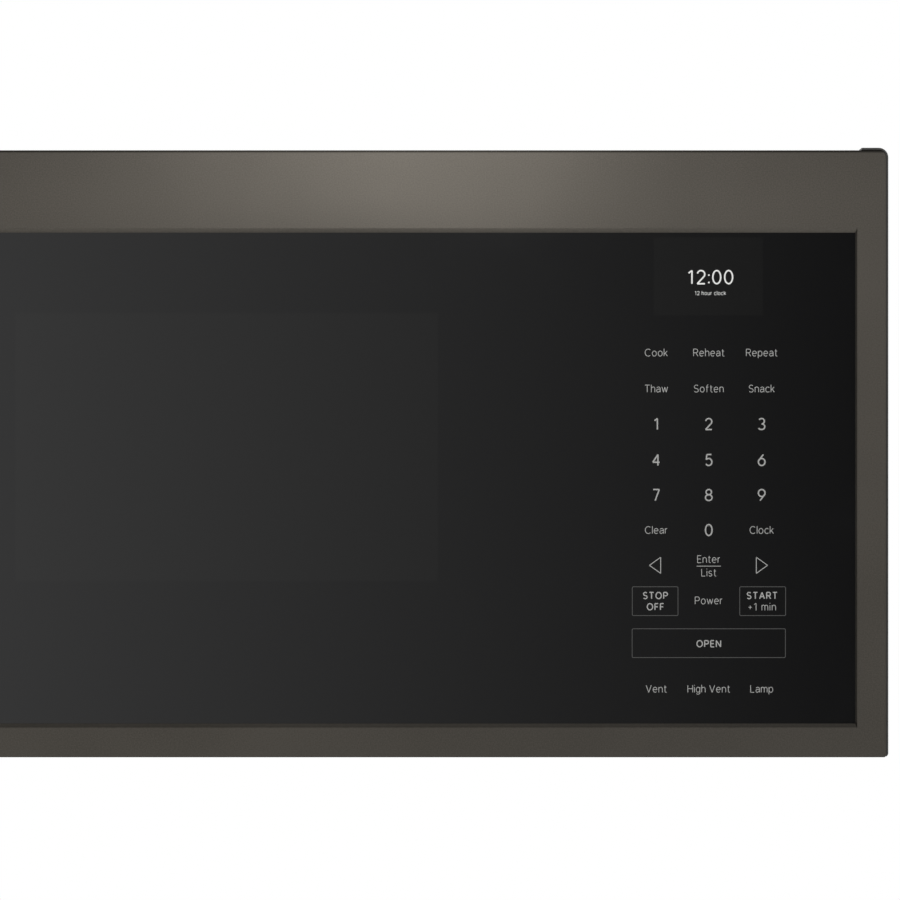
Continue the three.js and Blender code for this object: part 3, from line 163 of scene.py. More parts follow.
class Finish(Nodes):
    def __init__(self, name):
        self.material = bpy.data.materials.new(name)
        self.material.use_nodes = True
        super().__init__(self.material.node_tree)
        self.shader = self.tree.nodes["Principled BSDF"]

    def set(self, **sockets):
        for key, value in sockets.items():
            self.feed(self.shader.inputs[socketNames.get(key, key.capitalize())], value)
        return self

    def place(self, stretch=(1, 1, 1)):
        where = self.add("ShaderNodeTexCoord", output="Object")
        return self.add("ShaderNodeMapping", None, {"Vector": where, "Scale": stretch})

    def along(self, axis):  # one coordinate of the surface, in metres
        return self.add("ShaderNodeSeparateXYZ", None, {"Vector": self.place()}, output=axis)

    def noise(self, scale, detail=2.0, rough=0.5, stretch=(1, 1, 1)):
        inputs = {"Vector": self.place(stretch), "Scale": scale, "Detail": detail, "Roughness": rough}
        return self.add("ShaderNodeTexNoise", None, inputs)

    def cells(self, scale, output="Distance", feature="F1"):
        inputs = {"Vector": self.place(), "Scale": scale}
        return self.add("ShaderNodeTexVoronoi", {"feature": feature}, inputs, output)

    def waves(self, direction, scale, distortion=0.0):
        settings = {"wave_type": "BANDS", "bands_direction": direction}
        inputs = {"Vector": self.place(), "Scale": scale, "Distortion": distortion}
        return self.add("ShaderNodeTexWave", settings, inputs)

    def blend(self, factor, first, second):
        settings = {"data_type": "RGBA"}
        return self.add("ShaderNodeMix", settings, {"Factor": factor, 6: first, 7: second}, output=2)

    def bump(self, height, depth, strength=1.0):
        inputs = {"Height": height, "Distance": depth, "Strength": strength}
        return self.add("ShaderNodeBump", None, inputs)

    def dots(self, axes, pitch, radius, edge=0.00008):  # 1 on a square grid of round dots
        across, up = [((self.along(axis) / pitch).fraction() - 0.5) * pitch for axis in axes]
        away = (across * across + up * up) ** 0.5
        return 1 - away.ramp(radius - edge, radius + edge)

    def band(self, signal, low, high, edge=0.0004):  # 1 between two values
        half = (high - low) / 2
        return 1 - signal.away(low + half).ramp(half - edge, half + edge)

    def inside(self, low, high, edge=0.0004, axes=("X", "Z")):  # 1 inside a rectangle across two axes
        across, up = [self.along(axis) for axis in axes]
        return self.band(across, low[0], high[0], edge) * self.band(up, low[1], high[1], edge)


steelLook = {
    # dull and bright are the grain's two tones; bright also carries the painted highlight towards the top
    "dull": ink(71, 68, 63),
    "bright": ink(90, 86, 80),
    "shaded": ink(22, 21, 19),  # painted shade, where the front turns upwards or down
    "roughness": 0.33,
    "grain": 1050,
    "paintedFade": 0.045,  # how far below the upper edge the painted highlight eases off again
    "turn": (0.0004, 0.0024),  # from the door's upper edge
    "foot": (0.0001, 0.0009),  # from its lower edge
    "ledge": (0.0205, 0.0246),  # the slope under the glass, from the lower edge
    "depth": ((0.0015, 0.003), (0.0001, 0.0006)),  # how far back the edges and the ledge reach
}


def darkSteel():
    finish = Finish("darkSteel")
    grain = finish.noise(steelLook["grain"], 3, 0.7)
    drift = finish.noise(7, 2)
    low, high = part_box("door_skin")
    up, back = finish.along("Z"), finish.along("Y") - low.y
    speckle = (grain * 0.75 + drift * 0.25).ramp(0.36, 0.64)
    paintedFade = up.ramp(high.z - steelLook["paintedFade"], high.z)
    # the grain, plus a painted highlight: lighter towards the top and dimmed again just under the upper edge
    tone = speckle * 0.65 + up.ramp(low.z, high.z) * 0.35 - paintedFade * 0.2
    turn = up.ramp(*[high.z - down for down in reversed(steelLook["turn"])])
    foot = 1 - up.ramp(*[low.z + rise for rise in steelLook["foot"]])
    edgeDepth, ledgeDepth = steelLook["depth"]
    ledge = finish.band(up, *[low.z + rise for rise in steelLook["ledge"]]) * back.ramp(*ledgeDepth)
    # painted shade on the door's upper and lower edges and on the ledge under the glass
    shaded = (turn * 0.9 + foot * 0.6) * (1 - back.ramp(*edgeDepth)) + ledge * 0.58
    steel = finish.blend(tone, steelLook["dull"], steelLook["bright"])
    return finish.set(
        metallic=1.0,
        baseColor=finish.blend(shaded, steel, steelLook["shaded"]),
        roughness=grain * 0.12 + steelLook["roughness"],
        normal=finish.bump(grain, 0.00003, 0.25),
    ).material


glassLook = {
    "tint": (0.0032, 0.0032, 0.0034, 1),
    "clearer": (0.0052, 0.0052, 0.0052, 1),
    "roughness": 0.035,
    "window": ((-0.2438, -0.0909), (0.058, 0.1005)),  # lowest and highest X and Z
    "display": ((0.2122, 0.0989), (0.29, 0.1546)),
}


def blackGlass():
    finish = Finish("blackGlass")
    clearer = finish.inside(*glassLook["window"]) + finish.inside(*glassLook["display"])
    smudge = finish.noise(14, 4, 0.6).ramp(0.45, 0.8)
    return finish.set(
        baseColor=finish.blend(clearer, glassLook["tint"], glassLook["clearer"]),
        roughness=smudge * 0.03 + glassLook["roughness"],
        normal=finish.bump(finish.noise(3, 1), 0.0001, 0.12),
    ).material


def mouldedPlastic(name, colour, paler, roughness=0.5, grain=900, depth=0.00004):
    finish = Finish(name)
    texture = finish.cells(grain, feature="SMOOTH_F1")
    drift = finish.noise(11, 3)
    return finish.set(
        baseColor=finish.blend((drift * 0.6 + texture * 0.5).ramp(0.3, 0.85), colour, paler),
        roughness=roughness + drift * 0.14 - 0.07,
        normal=finish.bump(texture, depth, 0.5),
    ).material


coatLook = {"dark": ink(43, 43, 42), "pale": ink(54, 53, 51), "roughness": 0.35, "peel": 420, "speck": 2400}


def powderCoat():
    finish = Finish("powderCoat")
    peel = finish.noise(coatLook["peel"])
    speck = finish.noise(coatLook["speck"])
    drift = finish.noise(5, 3)
    tone = drift * 0.6 + speck * 0.4
    return finish.set(
        baseColor=finish.blend(tone.ramp(0.35, 0.7), coatLook["dark"], coatLook["pale"]),
        roughness=drift * 0.16 + coatLook["roughness"],
        normal=finish.bump(peel, 0.00012, 0.4),
    ).material


enamelLook = {
    "ground": (ink(150, 151, 151), ink(163, 164, 163)),
    "speck": ink(84, 86, 88),
    # the holes are painted near black: painted shade for their dark insides
    "hole": ink(12, 12, 12),
    "holePitch": 0.005,
    "holeRadius": 0.0016,
    "holePatch": ((-0.1805, -0.0105), (-0.1005, 0.0295)),  # lowest and highest Y and Z, on both side walls
    "walls": (-0.093, 0.245),  # the cavity's middle, and how far out from it the side walls begin
}


def ovenEnamel():
    finish = Finish("ovenEnamel")
    dark = 1 - finish.cells(700).ramp(0.1, 0.3)
    drift = finish.noise(6, 2)
    ground = finish.blend(drift.ramp(0.35, 0.7), *enamelLook["ground"])
    speckled = finish.blend(dark * 0.75, ground, enamelLook["speck"])
    middle, reach = enamelLook["walls"]
    sides = finish.along("X").away(middle) > reach
    # a grid of holes on the side walls, painted dark as painted shade and pressed in by the bump
    holes = finish.dots("YZ", enamelLook["holePitch"], enamelLook["holeRadius"])
    holes = holes * finish.inside(*enamelLook["holePatch"], 0.0002, "YZ") * sides
    return finish.set(
        baseColor=finish.blend(holes, speckled, enamelLook["hole"]),
        roughness=0.3 + drift * 0.12,
        coatWeight=0.3,
        coatRoughness=0.15,
        normal=finish.bump(finish.noise(260, 2) - holes * 3, 0.00008, 0.3),
    ).material


zincLook = {"dull": ink(150, 153, 156), "bright": ink(176, 179, 181), "roughness": 0.34, "spangle": 95}


def zincSheet():
    finish = Finish("zincSheet")
    spangle = finish.cells(zincLook["spangle"], "Color")
    level = finish.add("ShaderNodeSeparateColor", None, {"Color": spangle})
    scratch = finish.noise(60, 3, 0.6, stretch=(1, 1, 12))
    tone = level * 0.35 + scratch * 0.65
    return finish.set(
        metallic=1.0,
        baseColor=finish.blend(tone.ramp(0.15, 0.85), zincLook["dull"], zincLook["bright"]),
        roughness=level * 0.07 + zincLook["roughness"],
        normal=finish.bump(scratch, 0.00003, 0.3),
    ).material


aluminiumLook = {"dull": ink(168, 170, 171), "bright": ink(206, 208, 208), "roughness": 0.28, "grain": 260}


def bareAluminium():
    finish = Finish("bareAluminium")
    grain = finish.noise(aluminiumLook["grain"], 3, 0.6, stretch=(1, 9, 1))
    dust = finish.noise(9, 4)
    tone = (grain * 0.6 + dust * 0.4).ramp(0.3, 0.7)
    return finish.set(
        metallic=1.0,
        baseColor=finish.blend(tone, aluminiumLook["dull"], aluminiumLook["bright"]),
        roughness=grain * 0.14 + dust * 0.06 + aluminiumLook["roughness"],
        normal=finish.bump(grain, 0.00003, 0.3),
    ).material


paneLook = {"clean": ink(236, 242, 240), "filmed": ink(222, 230, 228), "roughness": 0.02, "index": 1.46}


def clearPane():
    finish = Finish("clearPane")
    film = finish.noise(12, 3)
    return finish.set(
        baseColor=finish.blend(film.ramp(0.4, 0.7), paneLook["clean"], paneLook["filmed"]),
        roughness=film * 0.05 + paneLook["roughness"],
        transmission=1.0,
        index=paneLook["index"],
    ).material


trayLook = {
    "clean": ink(232, 240, 238),
    "filmed": ink(220, 229, 227),
    "roughness": 0.03,
    "ringPitch": 0.0078,
    "rings": (0.024, 0.104),  # from the middle
    "ringDepth": 0.0012,
}


def pressedGlass():  # the tray, with rings pressed into it round its middle
    finish = Finish("pressedGlass")
    film = finish.noise(12, 3)
    middle = boxMiddle("glass_tray")
    across, along = finish.along("X") - middle.x, finish.along("Y") - middle.y
    away = (across * across + along * along) ** 0.5
    ridge = (away / trayLook["ringPitch"]).fraction().away(0.5)
    return finish.set(
        baseColor=finish.blend(film.ramp(0.4, 0.7), trayLook["clean"], trayLook["filmed"]),
        roughness=film * 0.05 + trayLook["roughness"],
        normal=finish.bump(ridge * finish.band(away, *trayLook["rings"]), trayLook["ringDepth"], 0.9),
        transmission=1.0,
        index=paneLook["index"],
    ).material


windingLook = {"bright": ink(176, 104, 60), "dark": ink(128, 66, 36), "turns": 170, "roughness": 0.28}


def copperWire():
    finish = Finish("copperWire")
    turns = finish.waves("Z", windingLook["turns"], 0.4)
    varnish = finish.noise(30, 3)
    return finish.set(
        metallic=0.9,
        baseColor=finish.blend(varnish.ramp(0.3, 0.7), windingLook["bright"], windingLook["dark"]),
        roughness=varnish * 0.15 + windingLook["roughness"],
        normal=finish.bump(turns, 0.0008, 0.8),
    ).material


coreLook = {"dark": ink(76, 75, 73), "pale": ink(98, 95, 90), "sheets": 260, "roughness": 0.42}


def stackedSteel():
    finish = Finish("stackedSteel")
    sheets = finish.waves("Y", coreLook["sheets"], 0.2)
    stain = finish.noise(25, 4)
    return finish.set(
        metallic=0.7,
        baseColor=finish.blend(stain.ramp(0.35, 0.65), coreLook["dark"], coreLook["pale"]),
        roughness=stain * 0.2 + coreLook["roughness"],
        normal=finish.bump(sheets, 0.0004, 0.6),
    ).material


boardLook = {"mask": ink(24, 84, 48), "track": ink(44, 118, 66), "pad": ink(186, 186, 176), "roughness": 0.35}


def solderMask():
    finish = Finish("solderMask")
    tracks = finish.cells(160, feature="DISTANCE_TO_EDGE")
    copper = (1 - tracks.ramp(0.02, 0.06)) * 0.6
    pads = 1 - finish.cells(420).ramp(0.14, 0.2)
    green = finish.blend(copper, boardLook["mask"], boardLook["track"])
    return finish.set(
        baseColor=finish.blend(pads * 0.8, green, boardLook["pad"]),
        roughness=boardLook["roughness"] - copper * 0.1,
        normal=finish.bump(copper + pads, 0.0001, 0.5),
    ).material


# gap: painted shade between the charcoal grains
charcoalLook = {"grain": ink(30, 30, 32), "gap": ink(15, 15, 16), "size": 420, "depth": 0.0012}


def charcoalPad():
    finish = Finish("charcoalPad")
    # each grain is lighter in its middle and darker at its rim: painted shade in the gaps between grains
    grains = finish.cells(charcoalLook["size"])
    return finish.set(
        baseColor=finish.blend(grains.ramp(0.1, 0.6), charcoalLook["grain"], charcoalLook["gap"]),
        roughness=grains * 0.3 + 0.6,
        normal=finish.bump(grains, charcoalLook["depth"], 0.8),
    ).material


micaLook = {"dark": ink(178, 164, 136), "pale": ink(198, 186, 160), "flakes": 150}


def micaSheet():
    finish = Finish("micaSheet")
    flakes = finish.cells(micaLook["flakes"], "Color")
    level = finish.add("ShaderNodeSeparateColor", None, {"Color": flakes})
    return finish.set(
        baseColor=finish.blend(level, micaLook["dark"], micaLook["pale"]),
        roughness=level * 0.2 + 0.3,
        coatWeight=0.2,
        normal=finish.bump(level, 0.00008, 0.4),
    ).material


def printedInk(name, colour, glow=0.0):
    finish = Finish(name)
    edge = finish.noise(3200)
    worn = tuple(level * 0.9 for level in colour[:3]) + (1,)
    tone = finish.blend(edge.ramp(0.25, 0.75), worn, colour)
    finish.set(baseColor=tone, roughness=0.55 + edge * 0.1, normal=finish.bump(edge, 0.00001, 0.2))
    if glow:
        finish.set(emission=tone, glow=glow)
    return finish.material


platingLook = {"bright": ink(172, 173, 172), "worn": ink(136, 136, 134), "roughness": 0.26}


def screwPlating():
    finish = Finish("screwPlating")
    wear = finish.noise(700, 3)
    return finish.set(
        metallic=1.0,
        baseColor=finish.blend(wear.ramp(0.35, 0.7), platingLook["bright"], platingLook["worn"]),
        roughness=wear * 0.2 + platingLook["roughness"],
        normal=finish.bump(wear, 0.00004, 0.4),
    ).material


screenLook = {"dark": ink(34, 34, 35), "pale": ink(50, 50, 50), "pitch": 0.0024, "hole": 0.00075}


def punchedScreen():  # a fine grid of round holes with dark metal between them
    finish = Finish("punchedScreen")
    worn = finish.noise(90)
    return finish.set(
        metallic=0.6,
        baseColor=finish.blend(worn, screenLook["dark"], screenLook["pale"]),
        roughness=worn * 0.1 + 0.45,
        alpha=1 - finish.dots("XZ", screenLook["pitch"], screenLook["hole"]),
    ).material


# valley and ridge: painted shade in the ribs' valleys and a painted highlight on their ridges
lensLook = {"valley": ink(214, 215, 210), "ridge": ink(236, 236, 231), "ribs": 105, "depth": 0.0007}


def ribbedLens():
    finish = Finish("ribbedLens")
    # the rib waves also set the colour: painted shade and highlight on the ribs
    ribs = finish.waves("X", lensLook["ribs"])
    stipple = finish.cells(900, feature="SMOOTH_F1")
    return finish.set(
        baseColor=finish.blend(ribs, lensLook["valley"], lensLook["ridge"]),
        roughness=stipple * 0.2 + 0.3,
        normal=finish.bump(ribs + stipple * 0.2, lensLook["depth"], 0.8),
    ).material


plateLook = {"dark": ink(120, 121, 121), "pale": ink(136, 137, 136), "roughness": 0.42}


def wallPaint():
    finish = Finish("wallPlateCoat")
    grain = finish.noise(900, 3, 0.6)
    drift = finish.noise(8, 3)
    tone = (grain * 0.5 + drift * 0.5).ramp(0.35, 0.65)
    return finish.set(
        metallic=0.8,
        baseColor=finish.blend(tone, plateLook["dark"], plateLook["pale"]),
        roughness=drift * 0.14 + plateLook["roughness"],
        normal=finish.bump(grain, 0.00004, 0.3),
    ).material


slotFinish = {
    "black_stainless": darkSteel(),
    "dark_trim": mouldedPlastic("trimPlastic", ink(40, 40, 38), ink(52, 51, 48), 0.42),
    "black_glass": blackGlass(),
    "clear_glass": clearPane(),
    "frosted_lens": ribbedLens(),
    "dark_plastic": mouldedPlastic("dashPlastic", ink(30, 30, 32), ink(40, 40, 42), 0.5),
    "case_paint": powderCoat(),
    "cavity_enamel": ovenEnamel(),
    "zinc_steel": zincSheet(),
    "aluminium": bareAluminium(),
    "white_plastic": mouldedPlastic("nylon", ink(224, 221, 212), ink(212, 208, 198), 0.42, 700),
    "circuit_board": solderMask(),
    "copper": copperWire(),
    "laminations": stackedSteel(),
    "carbon": charcoalPad(),
    "mica": micaSheet(),
}
ownFinish = {  # nodes that differ from their slot
    "door_screen": punchedScreen(),
    "wall_plate": wallPaint(),
    "glass_tray": pressedGlass(),
    "choke_pan": slotFinish["case_paint"],
}
screwFinish = screwPlating()
keyInk = printedInk("keyInk", ink(168, 168, 166))
boxInk = printedInk("boxInk", ink(68, 68, 67))
clockGlow = printedInk("clockGlow", ink(220, 220, 218), 0.2)  # the clock is lit a little

for node, piece in frame["nodes"].items():
    piece.data.materials.clear()
    piece.data.materials.append(ownFinish.get(node) or slotFinish[slotOf[node]])
print("finishes ready:", len(bpy.data.materials))


def leaveEdit():
    if bpy.context.object and bpy.context.object.mode != "OBJECT":
        bpy.ops.object.mode_set(mode="OBJECT")


def only(*pieces):  # selects these pieces and nothing else
    leaveEdit()
    bpy.ops.object.select_all(action="DESELECT")
    for piece in pieces:
        piece.select_set(True)
    bpy.context.view_layer.objects.active = pieces[0]


def edit(piece, kind="FACE", everything=False):
    only(piece)
    bpy.ops.object.mode_set(mode="EDIT")
    bpy.ops.mesh.select_mode(type=kind)
    bpy.ops.mesh.select_all(action="SELECT" if everything else "DESELECT")


def pickFaces(piece, test):  # goes into edit mode with the faces that pass the test selected
    edit(piece)
    bpy.ops.object.mode_set(mode="OBJECT")
    for face in piece.data.polygons:
        face.select = bool(test(face.center, face.normal))
    bpy.ops.object.mode_set(mode="EDIT")


def fixPlace(piece):
    only(piece)
    bpy.ops.object.transform_apply(location=True, rotation=True, scale=True)


def modify(piece, kind, **settings):
    only(piece)
    modifier = piece.modifiers.new(kind.lower(), kind)
    for key, value in settings.items():
        setattr(modifier, key, value)
    bpy.ops.object.modifier_apply(modifier=modifier.name)


def soften(piece, width, steps=2, angle=35):  # rounds the hard edges
    modify(piece, "BEVEL", width=width, segments=steps, limit_method="ANGLE", angle_limit=math.radians(angle))


def smooth(piece, angle=35):
    only(piece)
    bpy.ops.object.shade_smooth_by_angle(angle=math.radians(angle))
    modify(piece, "WEIGHTED_NORMAL", keep_sharp=True)


def settle(piece, body, slot, material=None, replaced=()):
    piece.data.materials.clear()
    piece.data.materials.append(material or slotFinish[slot])
    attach(piece, body)
    if replaced:
        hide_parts(*replaced)
    return piece


def copyOf(node, name):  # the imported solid's own mesh, merged and cleaned, to work on
    piece = bpy.data.objects.new(name, frame["nodes"][node].data.copy())
    bpy.context.scene.collection.objects.link(piece)
    edit(piece, "VERT", everything=True)
    bpy.ops.mesh.remove_doubles(threshold=0.00001)
    bpy.ops.mesh.dissolve_limited(angle_limit=math.radians(0.5))
    leaveEdit()
    return piece


def refine(node, name, edge=0.0004, steps=2, angle=35):
    piece = copyOf(node, name)
    soften(piece, edge, steps, angle)
    smooth(piece, angle)
    return settle(piece, bodyOf[node], slotOf[node], ownFinish.get(node), (node,))


def block(name, low, high):  # a start for a shaped piece
    low, high = Vector(low), Vector(high)
    bpy.ops.mesh.primitive_cube_add(size=1, location=(low + high) / 2)
    piece = bpy.context.object
    piece.scale = high - low
    piece.name = name
    fixPlace(piece)
    return piece


def joined(pieces, name):
    only(*pieces)
    bpy.ops.object.join()
    pieces[0].name = name
    return pieces[0]


cameraLook = {"place": (0.0666, -3.0, 0.0027), "lens": 145.75, "sensor": 36, "reach": 50}
lampPlan = {  # place, aimed at, side in metres, watts, spread in degrees, mirrored by the gloss
    "railLamp": ((0.03, -1.15, 0.373), (0.03, -0.4, 0.373), 0.3, 0.252, 70, True),
    "keyLamp": ((-2.2, -3.4, 3.0), (0.0, -0.2, 0.0), 3.0, 34, 180, False),
    "fillLamp": ((3.2, -2.6, 1.6), (0.0, -0.2, 0.0), 2.6, 22, 180, False),
    "backLamp": ((1.2, 3.6, 2.2), (0.0, -0.1, 0.0), 3.0, 30, 180, True),
    "underLamp": ((0.0, -0.8, -0.74), (0.0, -0.2, 0.0), 1.6, 4, 180, False),
}
skyLook = {"colour": (1, 1, 1, 1), "light": 0.7, "seen": 1.0}  # seen: by the camera, in gloss, through glass
floorLook = {
    "size": 5,
    "height": -0.75,
    "fade": (1.6, 2.45),  # where it goes over into the white behind it
    "paper": (ink(238, 238, 237), ink(246, 246, 245)),
    "roughness": 0.85,
    "glow": (0.3, 0.3, 0.3, 1),
}
cardLook = {  # the graded paper that the glass mirrors
    "low": (-0.86, -0.6),
    "high": (0.9, 0.6),
    "y": -4.5,
    "brightAt": -0.76,
    "bright": 0.82,
    "dim": 0.08,
    "slope": 0.6,
    "bend": 0.087,
}


def buildCamera():
    bpy.ops.object.camera_add(location=cameraLook["place"], rotation=(math.pi / 2, 0, 0))
    camera = bpy.context.object
    camera.data.sensor_width = cameraLook["sensor"]
    camera.data.lens = cameraLook["lens"]
    camera.data.clip_end = cameraLook["reach"]
    bpy.context.scene.camera = camera


def buildLamps():
    for name, (place, target, side, watts, spread, mirrored) in lampPlan.items():
        bpy.ops.object.light_add(type="AREA", location=place)
        lamp = bpy.context.object
        lamp.name = name
        lamp.data.size = side
        lamp.data.energy = watts
        lamp.data.spread = math.radians(spread)
        lamp.visible_glossy = mirrored  # a large lamp would show as a square in the glass
        lamp.rotation_euler = (Vector(target) - Vector(place)).to_track_quat("-Z", "Y").to_euler()


def buildSky():
    world = bpy.data.worlds.new("studio")
    bpy.context.scene.world = world
    world.use_nodes = True
    sky = Nodes(world.node_tree)
    rays = ("Is Camera Ray", "Is Glossy Ray", "Is Transmission Ray")
    camera, glossy, through = [sky.add("ShaderNodeLightPath", output=ray) for ray in rays]
    seen = camera.larger(glossy).larger(through)
    inputs = {"Value": seen, "To Min": skyLook["light"], "To Max": skyLook["seen"]}
    background = sky.tree.nodes["Background"]
    background.inputs["Color"].default_value = skyLook["colour"]
    sky.feed(background.inputs["Strength"], sky.add("ShaderNodeMapRange", None, inputs))


def buildFloor():
    bpy.ops.mesh.primitive_grid_add(
        x_subdivisions=8,
        y_subdivisions=8,
        size=floorLook["size"],
        location=(0, 0, floorLook["height"]),
    )
    floor = bpy.context.object
    floor.name = "studioFloor"
    fixPlace(floor)
    finish = Finish("floorPaper")
    across, along = finish.along("X"), finish.along("Y")
    edge = ((across * across + along * along) ** 0.5).ramp(*floorLook["fade"])
    behind = finish.add("ShaderNodeNewGeometry", output="Backfacing")
    finish.set(
        baseColor=finish.blend(finish.noise(2), *floorLook["paper"]),
        roughness=floorLook["roughness"],
        emission=finish.blend(edge, (0, 0, 0, 1), floorLook["glow"]),
        glow=1.0,
        alpha=(1 - edge) * (1 - behind),
    )
    floor.data.materials.append(finish.material)


def buildCard():
    low, high = cardLook["low"], cardLook["high"]
    place = ((low[0] + high[0]) / 2, cardLook["y"], (low[1] + high[1]) / 2)
    bpy.ops.mesh.primitive_plane_add(size=1, location=place, rotation=(-math.pi / 2, 0, 0))
    card = bpy.context.object
    card.scale = (high[0] - low[0], high[1] - low[1], 1)
    card.name = "gradientCard"
    fixPlace(card)
    finish = Finish("gradientPaper")
    across = finish.along("X") - cardLook["brightAt"]
    fade = cardLook["bright"] - across * cardLook["slope"] + across * across * cardLook["bend"]
    limits = {"Value": fade, "Min": cardLook["dim"], "Max": cardLook["bright"]}
    level = finish.add("ShaderNodeClamp", None, limits)
    finish.set(baseColor=(0, 0, 0, 1), roughness=1.0, specular=0.0, emission=level, glow=1.0)
    card.data.materials.append(finish.material)
    card.visible_camera = False
    card.visible_diffuse = False
    card.visible_shadow = False


bpy.context.scene.view_settings.view_transform = "Standard"
buildCamera()
buildLamps()
buildSky()
buildFloor()
buildCard()
print("camera, lamps and stage set")


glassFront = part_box("door_glass")[0].y
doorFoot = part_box("door_skin")[0].z  # the lower edge, which key heights count from
keyLook = {
    "columns": (0.2139, 0.2514, 0.2892),
    "digit": (0.0090, 0.00112),  # height of capitals and width of the pen
    "word": (0.0056, 0.00054),
    "bold": (0.0054, 0.00088),
    "clock": (0.0106, 0.00118),
    "tiny": (0.0029, 0.0003),
    "proud": 0.00006,  # print in front of the glass
    "film": 0.00002,
}
keyRows = [  # height above the door's foot, then what the three columns say
    (0.2888, "Cook", "Reheat", "Repeat"),
    (0.2631, "Thaw", "Soften", "Snack"),
    (0.2378, "1", "2", "3"),
    (0.2121, "4", "5", "6"),
    (0.1871, "7", "8", "9"),
    (0.1621, "Clear", "0", "Clock"),
    (0.1118, "", "Power", ""),
    (0.0487, "Vent", "High Vent", "Lamp"),
]
otherWords = [  # text, column, shift from it, height above the door's foot, size, gap between letters
    ("Enter", 1, 0, 0.1413, "word", 0.25),
    ("List", 1, 0, 0.1317, "word", 0.25),
    ("STOP", 0, -0.0006, 0.1153, "bold", 0.36),
    ("OFF", 0, -0.0006, 0.1073, "bold", 0.36),
    ("START", 2, 0.0003, 0.1153, "bold", 0.36),
    ("+1 min", 2, 0.0003, 0.1073, "word", 0.3),
    ("OPEN", 1, 0, 0.0809, "bold", 0.36),
]
clockWords = [
    ("12:00", 1, 0.0011, 0.3427, "clock", 0.3),
    ("12 hour clock", 1, 0.0011, 0.3313, "tiny", 0.28),
]
keyMarks = [  # column, shift, height above the foot, width, height, pen, corner, an arrow's turn and sides
    (1, 0, 0.1363, 0.0173, 0.0005, 0.0002, 0.00015),
    (0, 0.0005, 0.1369, 0.0125, 0.0087, 0.0005, 0.0005, -math.pi / 2, 3),
    (2, -0.0012, 0.1369, 0.0125, 0.0087, 0.0005, 0.0005, math.pi / 2, 3),
]
keyFrames = [
    (0, -0.0008, 0.1113, 0.0331, 0.021, 0.00045, 0.0011),
    (2, 0.0007, 0.1113, 0.0332, 0.021, 0.00045, 0.0011),
    (1, 0, 0.0813, 0.1099, 0.021, 0.00045, 0.0011),
]
penLook = {"arcStep": 18, "sharp": 50, "nearest": 0.01}  # degrees, degrees and a share of a capital's height


